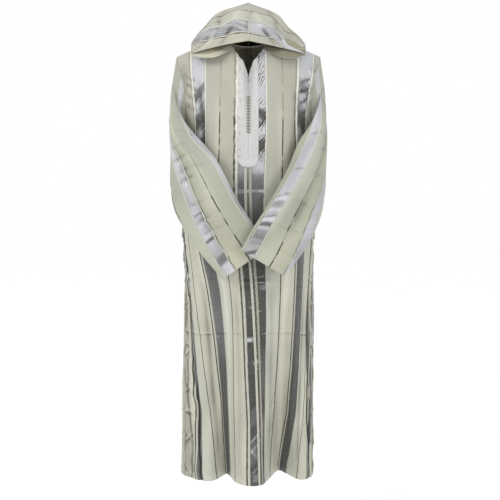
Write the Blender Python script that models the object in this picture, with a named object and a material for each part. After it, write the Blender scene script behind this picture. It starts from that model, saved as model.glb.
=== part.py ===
"""A hooded robe, a djellaba, in the hollow form that it has when worn.

Metres, +Z up. The robe faces -Y, so the wearer's right is -X. The origin is between the shoulders, at the height
of their tips, where the wearer holds the robe up. Every piece of cloth is a thin closed wall. Its outer face comes
from a function of two cloth coordinates, and its inner face lies WALL inside that.
"""

import math

import bpy
import numpy as np

# Cloth and seams
WALL = 0.0016  # thickness of the cloth
GAP = 0.0003  # left between two pieces at a seam
ARMHOLE_GAP = 0.0005  # the same at the armhole
BRAID = 0.0014  # thickness of the braids and cord trims

# Levels, down from the shoulders
CHEST_Z = -0.25  # the underarm
WAIST_Z = -0.50
HIP_Z = -0.75
KNEE_Z = -1.05
HEM_Z = -1.36

# The cut of the body
CHEST_HALF = 0.290  # half of a panel's width at the underarm
HEM_HALF = 0.360  # half of a panel's width at the hem
SHOULDER_HALF = 0.225  # from the middle to the shoulder tip
NECK_HALF = 0.070  # from the middle to the neck end of the shoulder seam
NECK_Z = 0.035  # height of the neck end of the shoulder seam
SHOULDER_DROP = 0.055  # from there down to the shoulder tip
BACK_NECK_DIP = 0.12  # how far the back neck dips, as a share of the yoke
HOOD_START = 0.043  # half of the open front between the hood's two ends
KNEE_FOLD = 0.62  # share of the hem's folds that is there at the knee

# Half width, front depth and back depth of the body's rounded section
SECTIONS = {
    "chest": (0.200, 0.125, 0.115),
    "waist": (0.210, 0.140, 0.125),
}

# Top edge of each front half, from the shoulder seam round the neck and down the slit
# distance from the centre front, share of the yoke
NECK_EDGE = [
    (0.0000, 0.510),
    (0.0045, 0.455),
    (0.0095, 0.400),
    (0.0145, 0.350),
    (0.0200, 0.324),
    (0.0260, 0.303),
    (0.0350, 0.245),
    (0.0430, 0.200),
    (0.0540, 0.120),
    (0.0640, 0.050),
    (0.0700, 0.000),
]

# Armhole edge: share of the yoke, distance from the centre
ARM_EDGE = [
    (0.00, 0.225),
    (0.20, 0.218),
    (0.40, 0.213),
    (0.60, 0.214),
    (0.80, 0.232),
    (0.90, 0.255),
    (1.00, 0.290),
]

# Fold lines round the body. Place counts round the robe: -1 is the right side seam, 0 the centre front,
# 1 the left side seam, 2 the centre back and 3 the right side seam again.
# name, place, hip x, hip y, hem x, hem y
FOLDS = [
    ("right side seam", -1.00, -0.203, -0.025, -0.214, -0.066),
    ("right side roll", -0.87, -0.190, -0.065, -0.176, -0.105),
    ("right outer lobe", -0.66, -0.153, -0.118, -0.112, -0.122),
    ("right lobe foot", -0.56, -0.121, -0.133, -0.088, -0.090),
    ("right valley", -0.46, -0.092, -0.136, -0.070, -0.065),
    ("right valley rise", -0.37, -0.073, -0.141, -0.054, -0.098),
    ("right inner lobe", -0.25, -0.049, -0.153, -0.038, -0.140),
    ("middle right", -0.125, -0.021, -0.159, -0.001, -0.167),
    ("centre front", 0.00, 0.019, -0.160, 0.040, -0.160),
    ("middle left", 0.125, 0.057, -0.153, 0.059, -0.127),
    ("left valley rise", 0.25, 0.090, -0.141, 0.074, -0.085),
    ("left valley", 0.39, 0.121, -0.126, 0.101, -0.032),
    ("left valley foot", 0.48, 0.143, -0.113, 0.124, -0.062),
    ("left outer lobe", 0.68, 0.177, -0.086, 0.162, -0.114),
    ("left side roll", 0.86, 0.195, -0.050, 0.195, -0.100),
    ("left side seam", 1.00, 0.205, -0.018, 0.210, -0.060),
    ("left back roll", 1.20, 0.210, 0.038, 0.209, 0.005),
    ("left back lobe", 1.45, 0.170, 0.095, 0.172, 0.098),
    ("left back valley", 1.68, 0.108, 0.128, 0.110, 0.058),
    ("left back rise", 1.86, 0.054, 0.145, 0.062, 0.142),
    ("right back rise", 2.14, -0.030, 0.148, -0.024, 0.150),
    ("right back valley", 2.34, -0.094, 0.132, -0.078, 0.070),
    ("right back lobe", 2.56, -0.152, 0.103, -0.150, 0.118),
    ("right back roll", 2.80, -0.205, 0.042, -0.215, 0.020),
]

# Rows of the mesh: shares of the yoke, then heights below it
YOKE_ROWS = [0.0, 0.03, 0.10, 0.20, 0.32, 0.44, 0.56, 0.68, 0.80, 0.90, 1.0]
PLACKET_WIDE_Z = -0.335  # where the rounded end of the braids begins
PLACKET_END_Z = -0.362
SKIRT_ROWS = [PLACKET_WIDE_Z, PLACKET_END_Z, -0.43, -0.50, -0.58, -0.66, -0.75, -0.84, -0.94]
SKIRT_ROWS += [-1.04, -1.13, -1.21, -1.29, HEM_Z]

# Columns of the mesh, from the centre: at these distances, then at these shares of what is left
BAND_INNER = 0.003
CORD_OUTER = 0.011
BAND_OUTER = 0.029
SIDE_BRAID = 0.014  # from the side seam to the far edge of its braid
SIDE_BRAID_EDGE = 0.003
FIELD_SHARES = [0.10, 0.20, 0.30, 0.40, 0.50, 0.60, 0.70, 0.80, 0.90]

# Sleeves: the two folded edges of the tube at each station, its thickness, and how far its middle bows out. The turn
# is how far its front faces outwards, and the roll how far its first point is carried round from the shoulder side
# to the outer edge, both in degrees.
# name, outer edge x y z, inner edge x y z, thickness, bow, turn, roll
RIGHT_SLEEVE = [
    ("cap", -0.241, 0.002, -0.105, -0.213, -0.008, -0.252, 0.085, 0.000, -15, 0),
    ("underarm", -0.241, -0.033, -0.165, -0.209, -0.040, -0.258, 0.100, 0.000, -25, 0),
    ("upper arm", -0.230, -0.012, -0.264, -0.155, -0.135, -0.276, 0.050, 0.018, 50, 90),
    ("above elbow", -0.236, -0.058, -0.342, -0.104, -0.170, -0.330, 0.054, 0.012, 38, 90),
    ("elbow", -0.229, -0.106, -0.486, -0.038, -0.189, -0.447, 0.044, 0.010, 23, 90),
    ("forearm", -0.170, -0.162, -0.586, 0.004, -0.192, -0.513, 0.034, 0.006, 12, 90),
    ("wrist", -0.125, -0.178, -0.643, 0.034, -0.192, -0.558, 0.032, 0.003, 8, 90),
    ("cuff", -0.078, -0.187, -0.695, 0.059, -0.192, -0.600, 0.030, 0.000, 5, 90),
]
LEFT_SLEEVE = [
    ("cap", 0.238, 0.002, -0.105, 0.213, -0.008, -0.252, 0.085, 0.000, -15, 0),
    ("underarm", 0.238, -0.033, -0.165, 0.209, -0.040, -0.258, 0.100, 0.000, -25, 0),
    ("upper arm", 0.228, -0.010, -0.264, 0.164, -0.130, -0.278, 0.050, 0.018, 54, 90),
    ("above elbow", 0.232, -0.060, -0.350, 0.131, -0.168, -0.349, 0.056, 0.012, 45, 90),
    ("elbow", 0.227, -0.116, -0.485, 0.057, -0.206, -0.473, 0.044, 0.010, 28, 90),
    ("forearm", 0.190, -0.172, -0.574, 0.018, -0.234, -0.531, 0.036, 0.006, 18, 90),
    ("wrist", 0.140, -0.200, -0.647, -0.003, -0.243, -0.566, 0.032, 0.003, 15, 90),
    ("cuff", 0.105, -0.212, -0.681, -0.023, -0.246, -0.600, 0.030, 0.000, 14, 90),
]
SLEEVE_SIDES = 2 * (len(YOKE_ROWS) - 1)
FLAT_TUBE = 0.72  # below 1 a tube's section is flatter than an ellipse

# Hood, the wearer's left half: one row for each section from the face edge back to the centre seam behind
# name, share, under x y z, fold x y z, side x y z, top y z
HOOD_SECTIONS = [
    ("face edge", 0.00, 0.112, -0.113, -0.032, 0.176, -0.082, -0.020, 0.095, -0.106, 0.002, -0.130, 0.018),
    ("brow", 0.22, 0.116, -0.052, 0.026, 0.177, -0.042, 0.006, 0.116, -0.042, 0.064, -0.060, 0.098),
    ("crown", 0.48, 0.118, 0.008, 0.033, 0.174, 0.012, 0.014, 0.108, 0.030, 0.108, 0.045, 0.152),
    ("back", 0.76, 0.082, 0.080, 0.026, 0.120, 0.100, 0.020, 0.074, 0.116, 0.066, 0.125, 0.112),
    ("centre seam behind", 1.00, 0.0, 0.094, 0.016, 0.0, 0.128, 0.012, 0.0, 0.154, 0.006, 0.180, -0.002),
]
HOOD_FULLNESS = {"right": 1.06, "left": 0.96}  # how far each half's side swells
HOOD_ACROSS = 14
HOOD_BACK = 10
NECK_SPLIT = 0.45  # share of the hood's neck seam that lies on the front

# Knots down the slit
BUTTON_COUNT = 13
BUTTON_TOP_Z = -0.149
BUTTON_STEP = 0.00875
KNOT_RADIUS = 0.0031
LOOP_RADIUS = 0.0009
BUTTON_HALF = 0.0065
BUTTON_RINGS = 8
BUTTON_SIDES = 6

# colour, roughness, metallic
FINISHES = {
    "cloth": ((0.60, 0.58, 0.48), 0.70, 0.0),
    "braid": ((0.76, 0.75, 0.72), 0.60, 0.0),
    "cord": ((0.66, 0.63, 0.52), 0.65, 0.0),
    "knot": ((0.42, 0.34, 0.24), 0.55, 0.0),
}


# ---- curves


def spline(knots, values, at, period=None):
    """Smooth curve through the values at the knots, read at every number in at."""
    knots = np.asarray(knots, float)
    values = np.asarray(values, float).reshape(len(knots), -1)
    if period:
        knots = np.concatenate([knots[-2:] - period, knots, knots[:2] + period])
        values = np.concatenate([values[-2:], values, values[:2]])
    steps = np.diff(knots)[:, None]
    slopes = np.diff(values, axis=0) / steps
    middle = (slopes[:-1] * steps[1:] + slopes[1:] * steps[:-1]) / (steps[:-1] + steps[1:])
    tangents = np.vstack([slopes[:1], middle, slopes[-1:]])
    at = np.asarray(at, float)
    i = np.clip(np.searchsorted(knots, at, side="right") - 1, 0, len(knots) - 2)
    step = steps[i]
    t = (at[:, None] - knots[i, None]) / step
    return (
        values[i] * (2 * t**3 - 3 * t**2 + 1)
        + tangents[i] * step * (t**3 - 2 * t**2 + t)
        + values[i + 1] * (3 * t**2 - 2 * t**3)
        + tangents[i + 1] * step * (t**3 - t**2)
    )


def unit(v):
    return v / np.maximum(np.linalg.norm(v, axis=-1, keepdims=True), 1e-12)


def eased(t):
    return t * t * (3 - 2 * t)


# ---- the body's outer face


def rounded_section(name, place):
    half, front, back = SECTIONS[name]
    angle = place * math.pi / 2
    depth = np.where(np.cos(angle) > 0, front, back)
    return np.stack([half * np.sin(angle), -depth * np.cos(angle)], -1)


def ring(place, z):
    """Plan position x, y of the body at each place round it, at each height from the underarm to the hem."""
    around = (np.asarray(place, float) + 1) % 4 - 1
    at = [row[1] for row in FOLDS]
    folded = spline(at, [row[2:6] for row in FOLDS], around, period=4)
    hip, hem = folded[:, :2], folded[:, 2:]
    levels = [rounded_section("chest", around), rounded_section("waist", around)]
    levels += [hip, hip + (hem - hip) * KNEE_FOLD, hem]
    depths = [-CHEST_Z, -WAIST_Z, -HIP_Z, -KNEE_Z, -HEM_Z]
    weights = spline(depths, np.eye(len(depths)), -np.asarray(z, float))
    return sum(weights[:, k : k + 1] * level for k, level in enumerate(levels))


def half_width(v):
    """From a panel's centre to its side edge. v runs from 0 to 1 down the yoke, then in metres below it."""
    v = np.asarray(v, float)
    arm = spline([row[0] for row in ARM_EDGE], [row[1] for row in ARM_EDGE], np.clip(v, 0, 1))[:, 0]
    flare = (HEM_HALF - CHEST_HALF) / (CHEST_Z - HEM_Z)
    return np.where(v <= 1, arm, CHEST_HALF + flare * (v - 1))


def top_edge(s, back):
    """Share of the yoke at which a panel starts, for each distance s from the centre."""
    off = np.minimum(np.abs(s), NECK_HALF)
    if back:
        return BACK_NECK_DIP * np.sqrt(np.maximum(1 - (off / NECK_HALF) ** 2, 0))
    return spline([row[0] for row in NECK_EDGE], [row[1] for row in NECK_EDGE], off)[:, 0]


def yoke(s, q, back):
    """Point of the yoke at distance s from the centre and share q of the way from shoulder seam to underarm."""
    place = 2 - s / CHEST_HALF if back else s / CHEST_HALF
    chest = rounded_section("chest", place)
    over = np.clip((np.abs(s) - NECK_HALF) / (SHOULDER_HALF - NECK_HALF), 0, 1.4)
    shoulder_z = NECK_Z - SHOULDER_DROP * over**1.3
    x = s + (chest[:, 0] - s) * eased(q) ** 1.5
    seam_y = GAP / 2 if back else -GAP / 2
    y = seam_y + (chest[:, 1] - seam_y) * np.sin(math.pi / 2 * q**0.55)
    z = shoulder_z + (CHEST_Z - shoulder_z) * q**1.25
    return np.stack([x, y, z], -1)


def body(s, v, back=False):
    """Outer face of the front (or back) at distance s from its centre and v down it."""
    s, v = np.broadcast_arrays(np.asarray(s, float), np.asarray(v, float))
    shape = s.shape
    s, v = s.ravel(), v.ravel()
    start = top_edge(s, back)
    high = yoke(s, start + (1 - start) * np.clip(v, 0, 1), back)
    z = CHEST_Z - np.maximum(v - 1, 0)
    share = s / half_width(np.maximum(v, 1))
    low = np.column_stack([ring(2 - share if back else share, z), z])
    return np.where((v <= 1)[:, None], high, low).reshape(*shape, 3)


def body_normals(s, v, back=False):
    step = 0.002
    s, v = np.broadcast_arrays(np.asarray(s, float), np.asarray(v, float))
    above = np.maximum(v - step, 0)
    across = body(s + step, v, back) - body(s - step, v, back)
    down = body(s, above + 2 * step, back) - body(s, above, back)
    normal = np.cross(across, down)
    return unit(normal if back else -normal)


def rows():
    return np.array(YOKE_ROWS + [1 + CHEST_Z - z for z in SKIRT_ROWS])


def columns(v):
    """Distances from the centre of a front half's columns, for each row."""
    side = half_width(v)[:, None]
    near = np.array([GAP / 2, BAND_INNER, CORD_OUTER, BAND_OUTER])[None]
    far = side - np.array([SIDE_BRAID, SIDE_BRAID_EDGE, GAP / 2])[None]
    field = near[:, -1:] + (far[:, :1] - near[:, -1:]) * np.array(FIELD_SHARES)[None]
    return np.hstack([np.repeat(near, len(v), 0), field, far])


# ---- solids


def finish(name):
    material = bpy.data.materials.get(name) or bpy.data.materials.new(name)
    colour, roughness, metallic = FINISHES[name]
    material.use_nodes = True
    shader = material.node_tree.nodes["Principled BSDF"]
    shader.inputs["Base Color"].default_value = (*colour, 1)
    shader.inputs["Roughness"].default_value = roughness
    shader.inputs["Metallic"].default_value = metallic
    material.diffuse_color = (*colour, 1)
    return material


def solid(name, points, faces, finish_name):
    """A named object from points and faces, with its faces turned out."""
    points = np.asarray(points, float)
    volume = 0.0
    for face in faces:
        for k in range(1, len(face) - 1):
            a, b, c = points[face[0]], points[face[k]], points[face[k + 1]]
            volume += float(np.dot(a, np.cross(b, c)))
    if volume < 0:
        faces = [tuple(reversed(face)) for face in faces]
    mesh = bpy.data.meshes.new(name)
    mesh.from_pydata(points.tolist(), [], faces)
    mesh.materials.append(finish(finish_name))
    mesh.shade_smooth()
    mesh.set_sharp_from_angle(angle=math.radians(40))
    piece = bpy.data.objects.new(name, mesh)
    bpy.context.collection.objects.link(piece)
    return piece


def wall(name, outer, inner, finish_name, tube=False):
    """Closed wall between two grids of points. A tube joins its last column to its first."""
    count, across = outer.shape[:2]
    points = np.concatenate([outer.reshape(-1, 3), inner.reshape(-1, 3)])
    far = count * across

    def at(i, j, side=0):
        return side * far + i * across + j % across

    faces = []
    spans = across if tube else across - 1
    for i in range(count - 1):
        for j in range(spans):
            faces.append((at(i, j), at(i, j + 1), at(i + 1, j + 1), at(i + 1, j)))
            faces.append((at(i, j, 1), at(i + 1, j, 1), at(i + 1, j + 1, 1), at(i, j + 1, 1)))
    for j in range(spans):
        last = count - 1
        faces.append((at(0, j), at(0, j, 1), at(0, j + 1, 1), at(0, j + 1)))
        faces.append((at(last, j), at(last, j + 1), at(last, j + 1, 1), at(last, j, 1)))
    if not tube:
        for i in range(count - 1):
            end = across - 1
            faces.append((at(i, 0), at(i + 1, 0), at(i + 1, 0, 1), at(i, 0, 1)))
            faces.append((at(i, end), at(i, end, 1), at(i + 1, end, 1), at(i + 1, end)))
    return solid(name, points, faces, finish_name)


def front_half(side):
    v = rows()
    s = side * columns(v)
    outer = body(s, v[:, None])
    return outer, body_normals(s, v[:, None])


def make_fronts():
    for side, word in ((-1, "right"), (1, "left")):
        outer, normals = front_half(side)
        wall(f"front_{word}", outer, outer - normals * WALL, "cloth")


def make_back():
    v = rows()
    shares = np.linspace(-1, 1, 23)[None]
    s = shares * (half_width(v)[:, None] - GAP / 2)
    outer = body(s, v[:, None], back=True)
    wall("back", outer, outer - body_normals(s, v[:, None], back=True) * WALL, "cloth")


# ---- sleeves


def armhole(side):
    """First ring of a sleeve and its normals: over the shoulder tip, down the front, the underarm and up the back.

    It follows the edge of the body a seam's gap away, and its cloth stands as the body's does there.
    """
    down = np.array(YOKE_ROWS)
    s = side * half_width(down)
    edge = np.concatenate([body(s, down), body(s, down, back=True)[-2:0:-1]])
    front, behind = body_normals(s, down), body_normals(s, down, back=True)
    normals = np.concatenate([front, behind[-2:0:-1]])
    for k in (0, len(down) - 1):
        normals[k] = unit(front[k] + behind[k])
    along = np.roll(edge, -1, 0) - np.roll(edge, 1, 0)
    away = unit(np.cross(normals, along))
    away *= np.sign((away * (edge.mean(0) - edge)).sum(1, keepdims=True))
    return edge + away * ARMHOLE_GAP, normals


def station_ring(row, side):
    """One section of a sleeve, as flat as its thickness says."""
    outer, inner = np.array(row[1:4]), np.array(row[4:7])
    thickness, bow, turn, roll = row[7:]
    facing = np.array([side * math.sin(math.radians(turn)), -math.cos(math.radians(turn)), 0.0])
    edge = unit(outer - inner)
    normal = unit(facing - edge * facing.dot(edge))
    angle = np.linspace(0, 2 * math.pi, SLEEVE_SIDES, endpoint=False) + math.radians(roll)
    c, s = np.cos(angle)[:, None], np.sin(angle)[:, None]
    flat = FLAT_TUBE if roll else 1.0
    along = np.sign(c) * np.abs(c) ** flat
    out = np.sign(s) * np.abs(s) ** flat
    middle = (outer + inner) / 2 + normal * bow * s**2
    return middle + (outer - inner) / 2 * along + normal * thickness / 2 * out


def sleeve_grid(side):
    table = RIGHT_SLEEVE if side < 0 else LEFT_SLEEVE
    start, start_normals = armhole(side)
    rings = np.array([start] + [station_ring(row, side) for row in table])
    gaps = np.linalg.norm(np.diff(rings.mean(1), axis=0), axis=1)
    at = np.concatenate([[0], np.cumsum(gaps)])
    steps = np.sort(np.concatenate([at, (at[2:] + at[1:-1]) / 2]))
    grid = spline(at, rings.reshape(len(rings), -1), steps).reshape(len(steps), SLEEVE_SIDES, 3)
    normals = tube_normals(grid)
    normals[0] = unit(2 * start_normals + normals[0])
    return grid, normals


def directions(lines, closed=False):
    """Which way each line of points runs, half way between the step before a point and the step after it."""
    after = unit(np.roll(lines, -1, 0) - lines)
    if not closed:
        after[-1] = after[-2]
    before = np.roll(after, 1, 0)
    if not closed:
        before[0] = after[0]
    return unit(after + before)


def shared(grid):
    """Grid whose values are shared with those beside, above and below them."""
    wide = np.roll(grid, 1, 1) + np.roll(grid, -1, 1)
    wide[:, 0] = 2 * grid[:, 0]
    wide[:, -1] = 2 * grid[:, -1]
    tall = np.vstack([grid[:1], grid[:-1]]) + np.vstack([grid[1:], grid[-1:]])
    return (2 * grid + wide + tall) / 6


def settled(normals, times):
    """Normals shared with their neighbours, so that the wall turns its sharp folds without crossing itself."""
    for _ in range(times):
        normals = unit(shared(normals))
    return normals


def tube_normals(grid):
    around = directions(grid.swapaxes(0, 1), closed=True).swapaxes(0, 1)
    normal = unit(np.cross(around, directions(grid)))
    outward = grid - grid.mean(1, keepdims=True)
    return normal * np.sign((normal * outward).sum())


def make_sleeves():
    for side, word in ((-1, "right"), (1, "left")):
        outer, normals = sleeve_grid(side)
        wall(f"sleeve_{word}", outer, outer - normals * WALL, "cloth", tube=True)


# ---- hood


def neck_seam(b):
    """Outer face of the body along the hood's seam, from the front end (0) to the centre back (1)."""
    on_front = b < NECK_SPLIT
    front_s = HOOD_START + (NECK_HALF - HOOD_START) * np.clip(b / NECK_SPLIT, 0, 1)
    angle = np.clip((b - NECK_SPLIT) / (1 - NECK_SPLIT), 0, 1) * math.pi / 2
    back_s = NECK_HALF * np.cos(angle)
    front = body(front_s, 0 * b)
    back = body(back_s, 0 * b, back=True)
    return np.where(on_front[:, None], front, back)


def hood_grid(fullness):
    """Outer face of a half, drawn on +X: rows from the neck seam over to the top seam, columns from the face back."""
    b = np.linspace(0, 1, HOOD_BACK + 1)
    shares = [row[1] for row in HOOD_SECTIONS]
    columns_at = spline(shares, [row[2:] for row in HOOD_SECTIONS], b)
    neck = neck_seam(b)
    neck[:, 2] += 4 * GAP
    grid = []
    for k, row in enumerate(columns_at):
        side = row[6:9] * [fullness, 1, 1]
        through = np.array([neck[k], row[0:3], row[3:6], side, [0.0, row[9], row[10]]])
        at = np.concatenate([[0], np.cumsum(np.linalg.norm(np.diff(through, axis=0), axis=1) ** 0.7)])
        grid.append(spline(at, through, np.linspace(0, at[-1], HOOD_ACROSS + 1)))
    return np.array(grid).transpose(1, 0, 2)


def grid_normals(grid):
    return unit(np.cross(directions(grid.swapaxes(0, 1)).swapaxes(0, 1), directions(grid)))


def make_hood():
    for side, word in ((1, "left"), (-1, "right")):
        outer = hood_grid(HOOD_FULLNESS[word])
        normals = grid_normals(outer)
        crown = outer.shape[0] * 3 // 4, outer.shape[1] // 2
        if normals[crown][2] < 0:
            normals = -normals
        normals = settled(normals, 3)
        tip = np.zeros(3)
        for seam in (np.s_[-1, :], np.s_[:, -1]):  # both lie in the middle plane and end at the hood's tip
            level = unit(np.cross([1.0, 0.0, 0.0], directions(outer[seam])))
            normals[seam] = level * np.sign((level * normals[seam]).sum())
            tip += normals[seam][-1]
        normals[-1, -1] = 2 * tip / tip.dot(tip)
        inner = outer - normals * WALL
        flip = np.array([side, 1, 1])
        clear = np.array([side * GAP / 2, 0, 0])
        wall(f"hood_{word}", outer * flip + clear, inner * flip + clear, "cloth")


# ---- braids, cords and knots


def strip(name, side, row_span, column_span, finish_name):
    """A flat trim on a front half: a patch of the panel's own points, moved out."""
    outer, normals = front_half(side)
    patch = np.s_[row_span[0] : row_span[1], column_span[0] : column_span[1]]
    lower = outer[patch] + normals[patch] * GAP
    wall(name, lower + normals[patch] * BRAID, lower, finish_name)


def make_trims():
    placket_rows = (0, len(YOKE_ROWS) + 1)
    skirt_rows = (len(YOKE_ROWS) + 1, len(rows()))
    last = columns(rows()).shape[1]
    for side, word in ((-1, "right"), (1, "left")):
        strip(f"placket_{word}", side, placket_rows, (0, 4), "braid")
        strip(f"centre_trim_{word}", side, skirt_rows, (1, 3), "cord")
        strip(f"side_trim_{word}", side, (len(YOKE_ROWS) - 1, len(rows())), (last - 3, last - 1), "braid")


def make_placket_end():
    """Rounded tab where the two front braids meet."""
    turns = np.linspace(0, math.pi / 2, 5)[:-1]
    depth = PLACKET_WIDE_Z - PLACKET_END_Z - 2 * GAP
    v = 1 + CHEST_Z - PLACKET_WIDE_Z + GAP + depth * np.sin(turns)
    across = np.array([-1.0, -0.7, -0.38, -0.1, 0.1, 0.38, 0.7, 1.0])
    s = BAND_OUTER * np.cos(turns)[:, None] * across[None]
    lower = body(s, v[:, None]) + body_normals(s, v[:, None]) * 2 * GAP
    wall("placket_end", lower + body_normals(s, v[:, None]) * BRAID, lower, "braid")


def tube(name, path, radii, sides, finish_name):
    """Round solid along a path, with a point at each end."""
    path, radii = np.asarray(path, float), np.asarray(radii, float)
    along = unit(np.gradient(path, axis=0))
    side_a = unit(np.cross(along, [0.0, 0.0, 1.0]))
    side_b = np.cross(along, side_a)
    points = [path[0] - along[0] * radii[0]]
    for centre, radius, a, b in zip(path, radii, side_a, side_b):
        for k in range(sides):
            angle = 2 * math.pi * k / sides
            points.append(centre + radius * (a * math.cos(angle) + b * math.sin(angle)))
    points.append(path[-1] + along[-1] * radii[-1])
    faces = []
    for k in range(sides):
        after = (k + 1) % sides
        faces.append((0, 1 + after, 1 + k))
        for i in range(len(path) - 1):
            here, there = 1 + i * sides, 1 + (i + 1) * sides
            faces.append((here + k, here + after, there + after, there + k))
        end = 1 + (len(path) - 1) * sides
        faces.append((end + k, end + after, len(points) - 1))
    return solid(name, points, faces, finish_name)


def centre_v(z):
    """How far down the panel the centre front reaches height z."""
    share = ((NECK_Z - z) / (NECK_Z - CHEST_Z)) ** (1 / 1.25)
    start = NECK_EDGE[0][1]
    return (share - start) / (1 - start) if z > CHEST_Z else 1 + CHEST_Z - z


def make_buttons():
    """A knot over the slit, with its loop drawn down to the braid on each side."""
    x = np.linspace(-BUTTON_HALF, BUTTON_HALF, BUTTON_RINGS)
    swell = np.exp(-((x / (0.4 * BUTTON_HALF)) ** 2))
    radii = LOOP_RADIUS + (KNOT_RADIUS - LOOP_RADIUS) * swell
    for k in range(BUTTON_COUNT):
        v = centre_v(BUTTON_TOP_Z - k * BUTTON_STEP)
        seat = body(np.array([0.0]), np.array([v]))[0]
        out = body_normals(np.array([0.0]), np.array([v]))[0]
        path = seat + out * (BRAID + 2 * GAP + radii)[:, None] + np.outer(x, [1, 0, 0])
        tube(f"button_{k + 1:02d}", path, radii, BUTTON_SIDES, "knot")


def main():
    for piece in list(bpy.data.objects):
        bpy.data.objects.remove(piece)
    make_fronts()
    make_back()
    make_sleeves()
    make_hood()
    make_trims()
    make_placket_end()
    make_buttons()


main()
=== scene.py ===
"""Looks of the hooded robe: striped satin cloth, braids, cords, knots, stitches, camera and light.

Metres, +Z up, in the frame of the solids. The robe faces -Y and the wearer's right is -X. The surface
functions and their tables are those of the solids. The cloth is drawn on them more finely, with its creases.
"""

import math

import bpy
import numpy as np
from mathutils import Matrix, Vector


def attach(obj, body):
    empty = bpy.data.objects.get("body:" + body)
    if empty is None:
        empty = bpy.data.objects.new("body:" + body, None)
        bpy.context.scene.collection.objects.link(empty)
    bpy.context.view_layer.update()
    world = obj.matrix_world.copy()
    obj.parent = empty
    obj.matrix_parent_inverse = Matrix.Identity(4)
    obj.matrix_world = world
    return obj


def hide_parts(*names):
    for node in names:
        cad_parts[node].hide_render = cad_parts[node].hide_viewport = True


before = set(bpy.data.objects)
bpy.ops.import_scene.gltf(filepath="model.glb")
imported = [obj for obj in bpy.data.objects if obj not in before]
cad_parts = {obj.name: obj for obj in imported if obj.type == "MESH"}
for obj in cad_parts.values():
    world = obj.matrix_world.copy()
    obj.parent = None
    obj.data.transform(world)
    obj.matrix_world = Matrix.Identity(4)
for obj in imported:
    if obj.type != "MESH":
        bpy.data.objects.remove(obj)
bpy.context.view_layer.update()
scene = bpy.context.scene

GAP = 0.0003  # left between two pieces at a seam
ARMHOLE_GAP = 0.0005  # the same at the armhole
BRAID = 0.0014  # thickness of the braids and cord trims

# Levels, down from the shoulders
CHEST_Z = -0.25  # the underarm
WAIST_Z = -0.50
HIP_Z = -0.75
KNEE_Z = -1.05
HEM_Z = -1.36

# The cut of the body
CHEST_HALF = 0.290  # half of a panel's width at the underarm
HEM_HALF = 0.360  # half of a panel's width at the hem
SHOULDER_HALF = 0.225  # from the middle to the shoulder tip
NECK_HALF = 0.070  # from the middle to the neck end of the shoulder seam
NECK_Z = 0.035  # height of the neck end of the shoulder seam
SHOULDER_DROP = 0.055  # from there down to the shoulder tip
BACK_NECK_DIP = 0.12  # how far the back neck dips, as a share of the yoke
HOOD_START = 0.043  # half of the open front between the hood's two ends
KNEE_FOLD = 0.62  # share of the hem's folds that is there at the knee

# Half width, front depth and back depth of the body's rounded section
SECTIONS = {
    "chest": (0.200, 0.125, 0.115),
    "waist": (0.210, 0.140, 0.125),
}

# Top edge of each front half, from the slit's upper end round the neck to the shoulder seam:
# distance from the centre front, share of the yoke
NECK_EDGE = [
    (0.0000, 0.510), (0.0045, 0.455), (0.0095, 0.400), (0.0145, 0.350), (0.0200, 0.324), (0.0260, 0.303),
    (0.0350, 0.245), (0.0430, 0.200), (0.0540, 0.120), (0.0640, 0.050), (0.0700, 0.000),
]

# Armhole edge: share of the yoke, distance from the centre
ARM_EDGE = [
    (0.00, 0.225), (0.20, 0.218), (0.40, 0.213), (0.60, 0.214), (0.80, 0.232), (0.90, 0.255), (1.00, 0.290),
]

# Fold lines round the body: place, then x and y at the hip and at the hem. Place counts round the
# robe: -1 is the right side seam, 0 the centre front, 1 the left side seam, 2 the centre back.
FOLDS = [
    (-1.00, -0.203, -0.025, -0.214, -0.066), (-0.87, -0.190, -0.065, -0.176, -0.105),
    (-0.66, -0.153, -0.118, -0.112, -0.122), (-0.56, -0.121, -0.133, -0.088, -0.090),
    (-0.46, -0.092, -0.136, -0.070, -0.065), (-0.37, -0.073, -0.141, -0.054, -0.098),
    (-0.25, -0.049, -0.153, -0.038, -0.140), (-0.125, -0.021, -0.159, -0.001, -0.167),
    (0.00, 0.019, -0.160, 0.040, -0.160), (0.125, 0.057, -0.153, 0.059, -0.127),
    (0.25, 0.090, -0.141, 0.074, -0.085), (0.39, 0.121, -0.126, 0.101, -0.032),
    (0.48, 0.143, -0.113, 0.124, -0.062), (0.68, 0.177, -0.086, 0.162, -0.114),
    (0.86, 0.195, -0.050, 0.195, -0.100), (1.00, 0.205, -0.018, 0.210, -0.060),
    (1.20, 0.210, 0.038, 0.209, 0.005), (1.45, 0.170, 0.095, 0.172, 0.098),
    (1.68, 0.108, 0.128, 0.110, 0.058), (1.86, 0.054, 0.145, 0.062, 0.142),
    (2.14, -0.030, 0.148, -0.024, 0.150), (2.34, -0.094, 0.132, -0.078, 0.070),
    (2.56, -0.152, 0.103, -0.150, 0.118), (2.80, -0.205, 0.042, -0.215, 0.020),
]

# Points of the armhole's edge, as shares of the yoke
YOKE_ROWS = [0.0, 0.03, 0.10, 0.20, 0.32, 0.44, 0.56, 0.68, 0.80, 0.90, 1.0]
PLACKET_WIDE_Z = -0.335  # where the rounded end of the braids begins
PLACKET_END_Z = -0.362

# Where the trims lie, from the centre front and from the side seam
BAND_INNER = 0.003
CORD_OUTER = 0.011
BAND_OUTER = 0.029
SIDE_BRAID = 0.014  # from the side seam to the far edge of its braid
SIDE_BRAID_EDGE = 0.003

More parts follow.
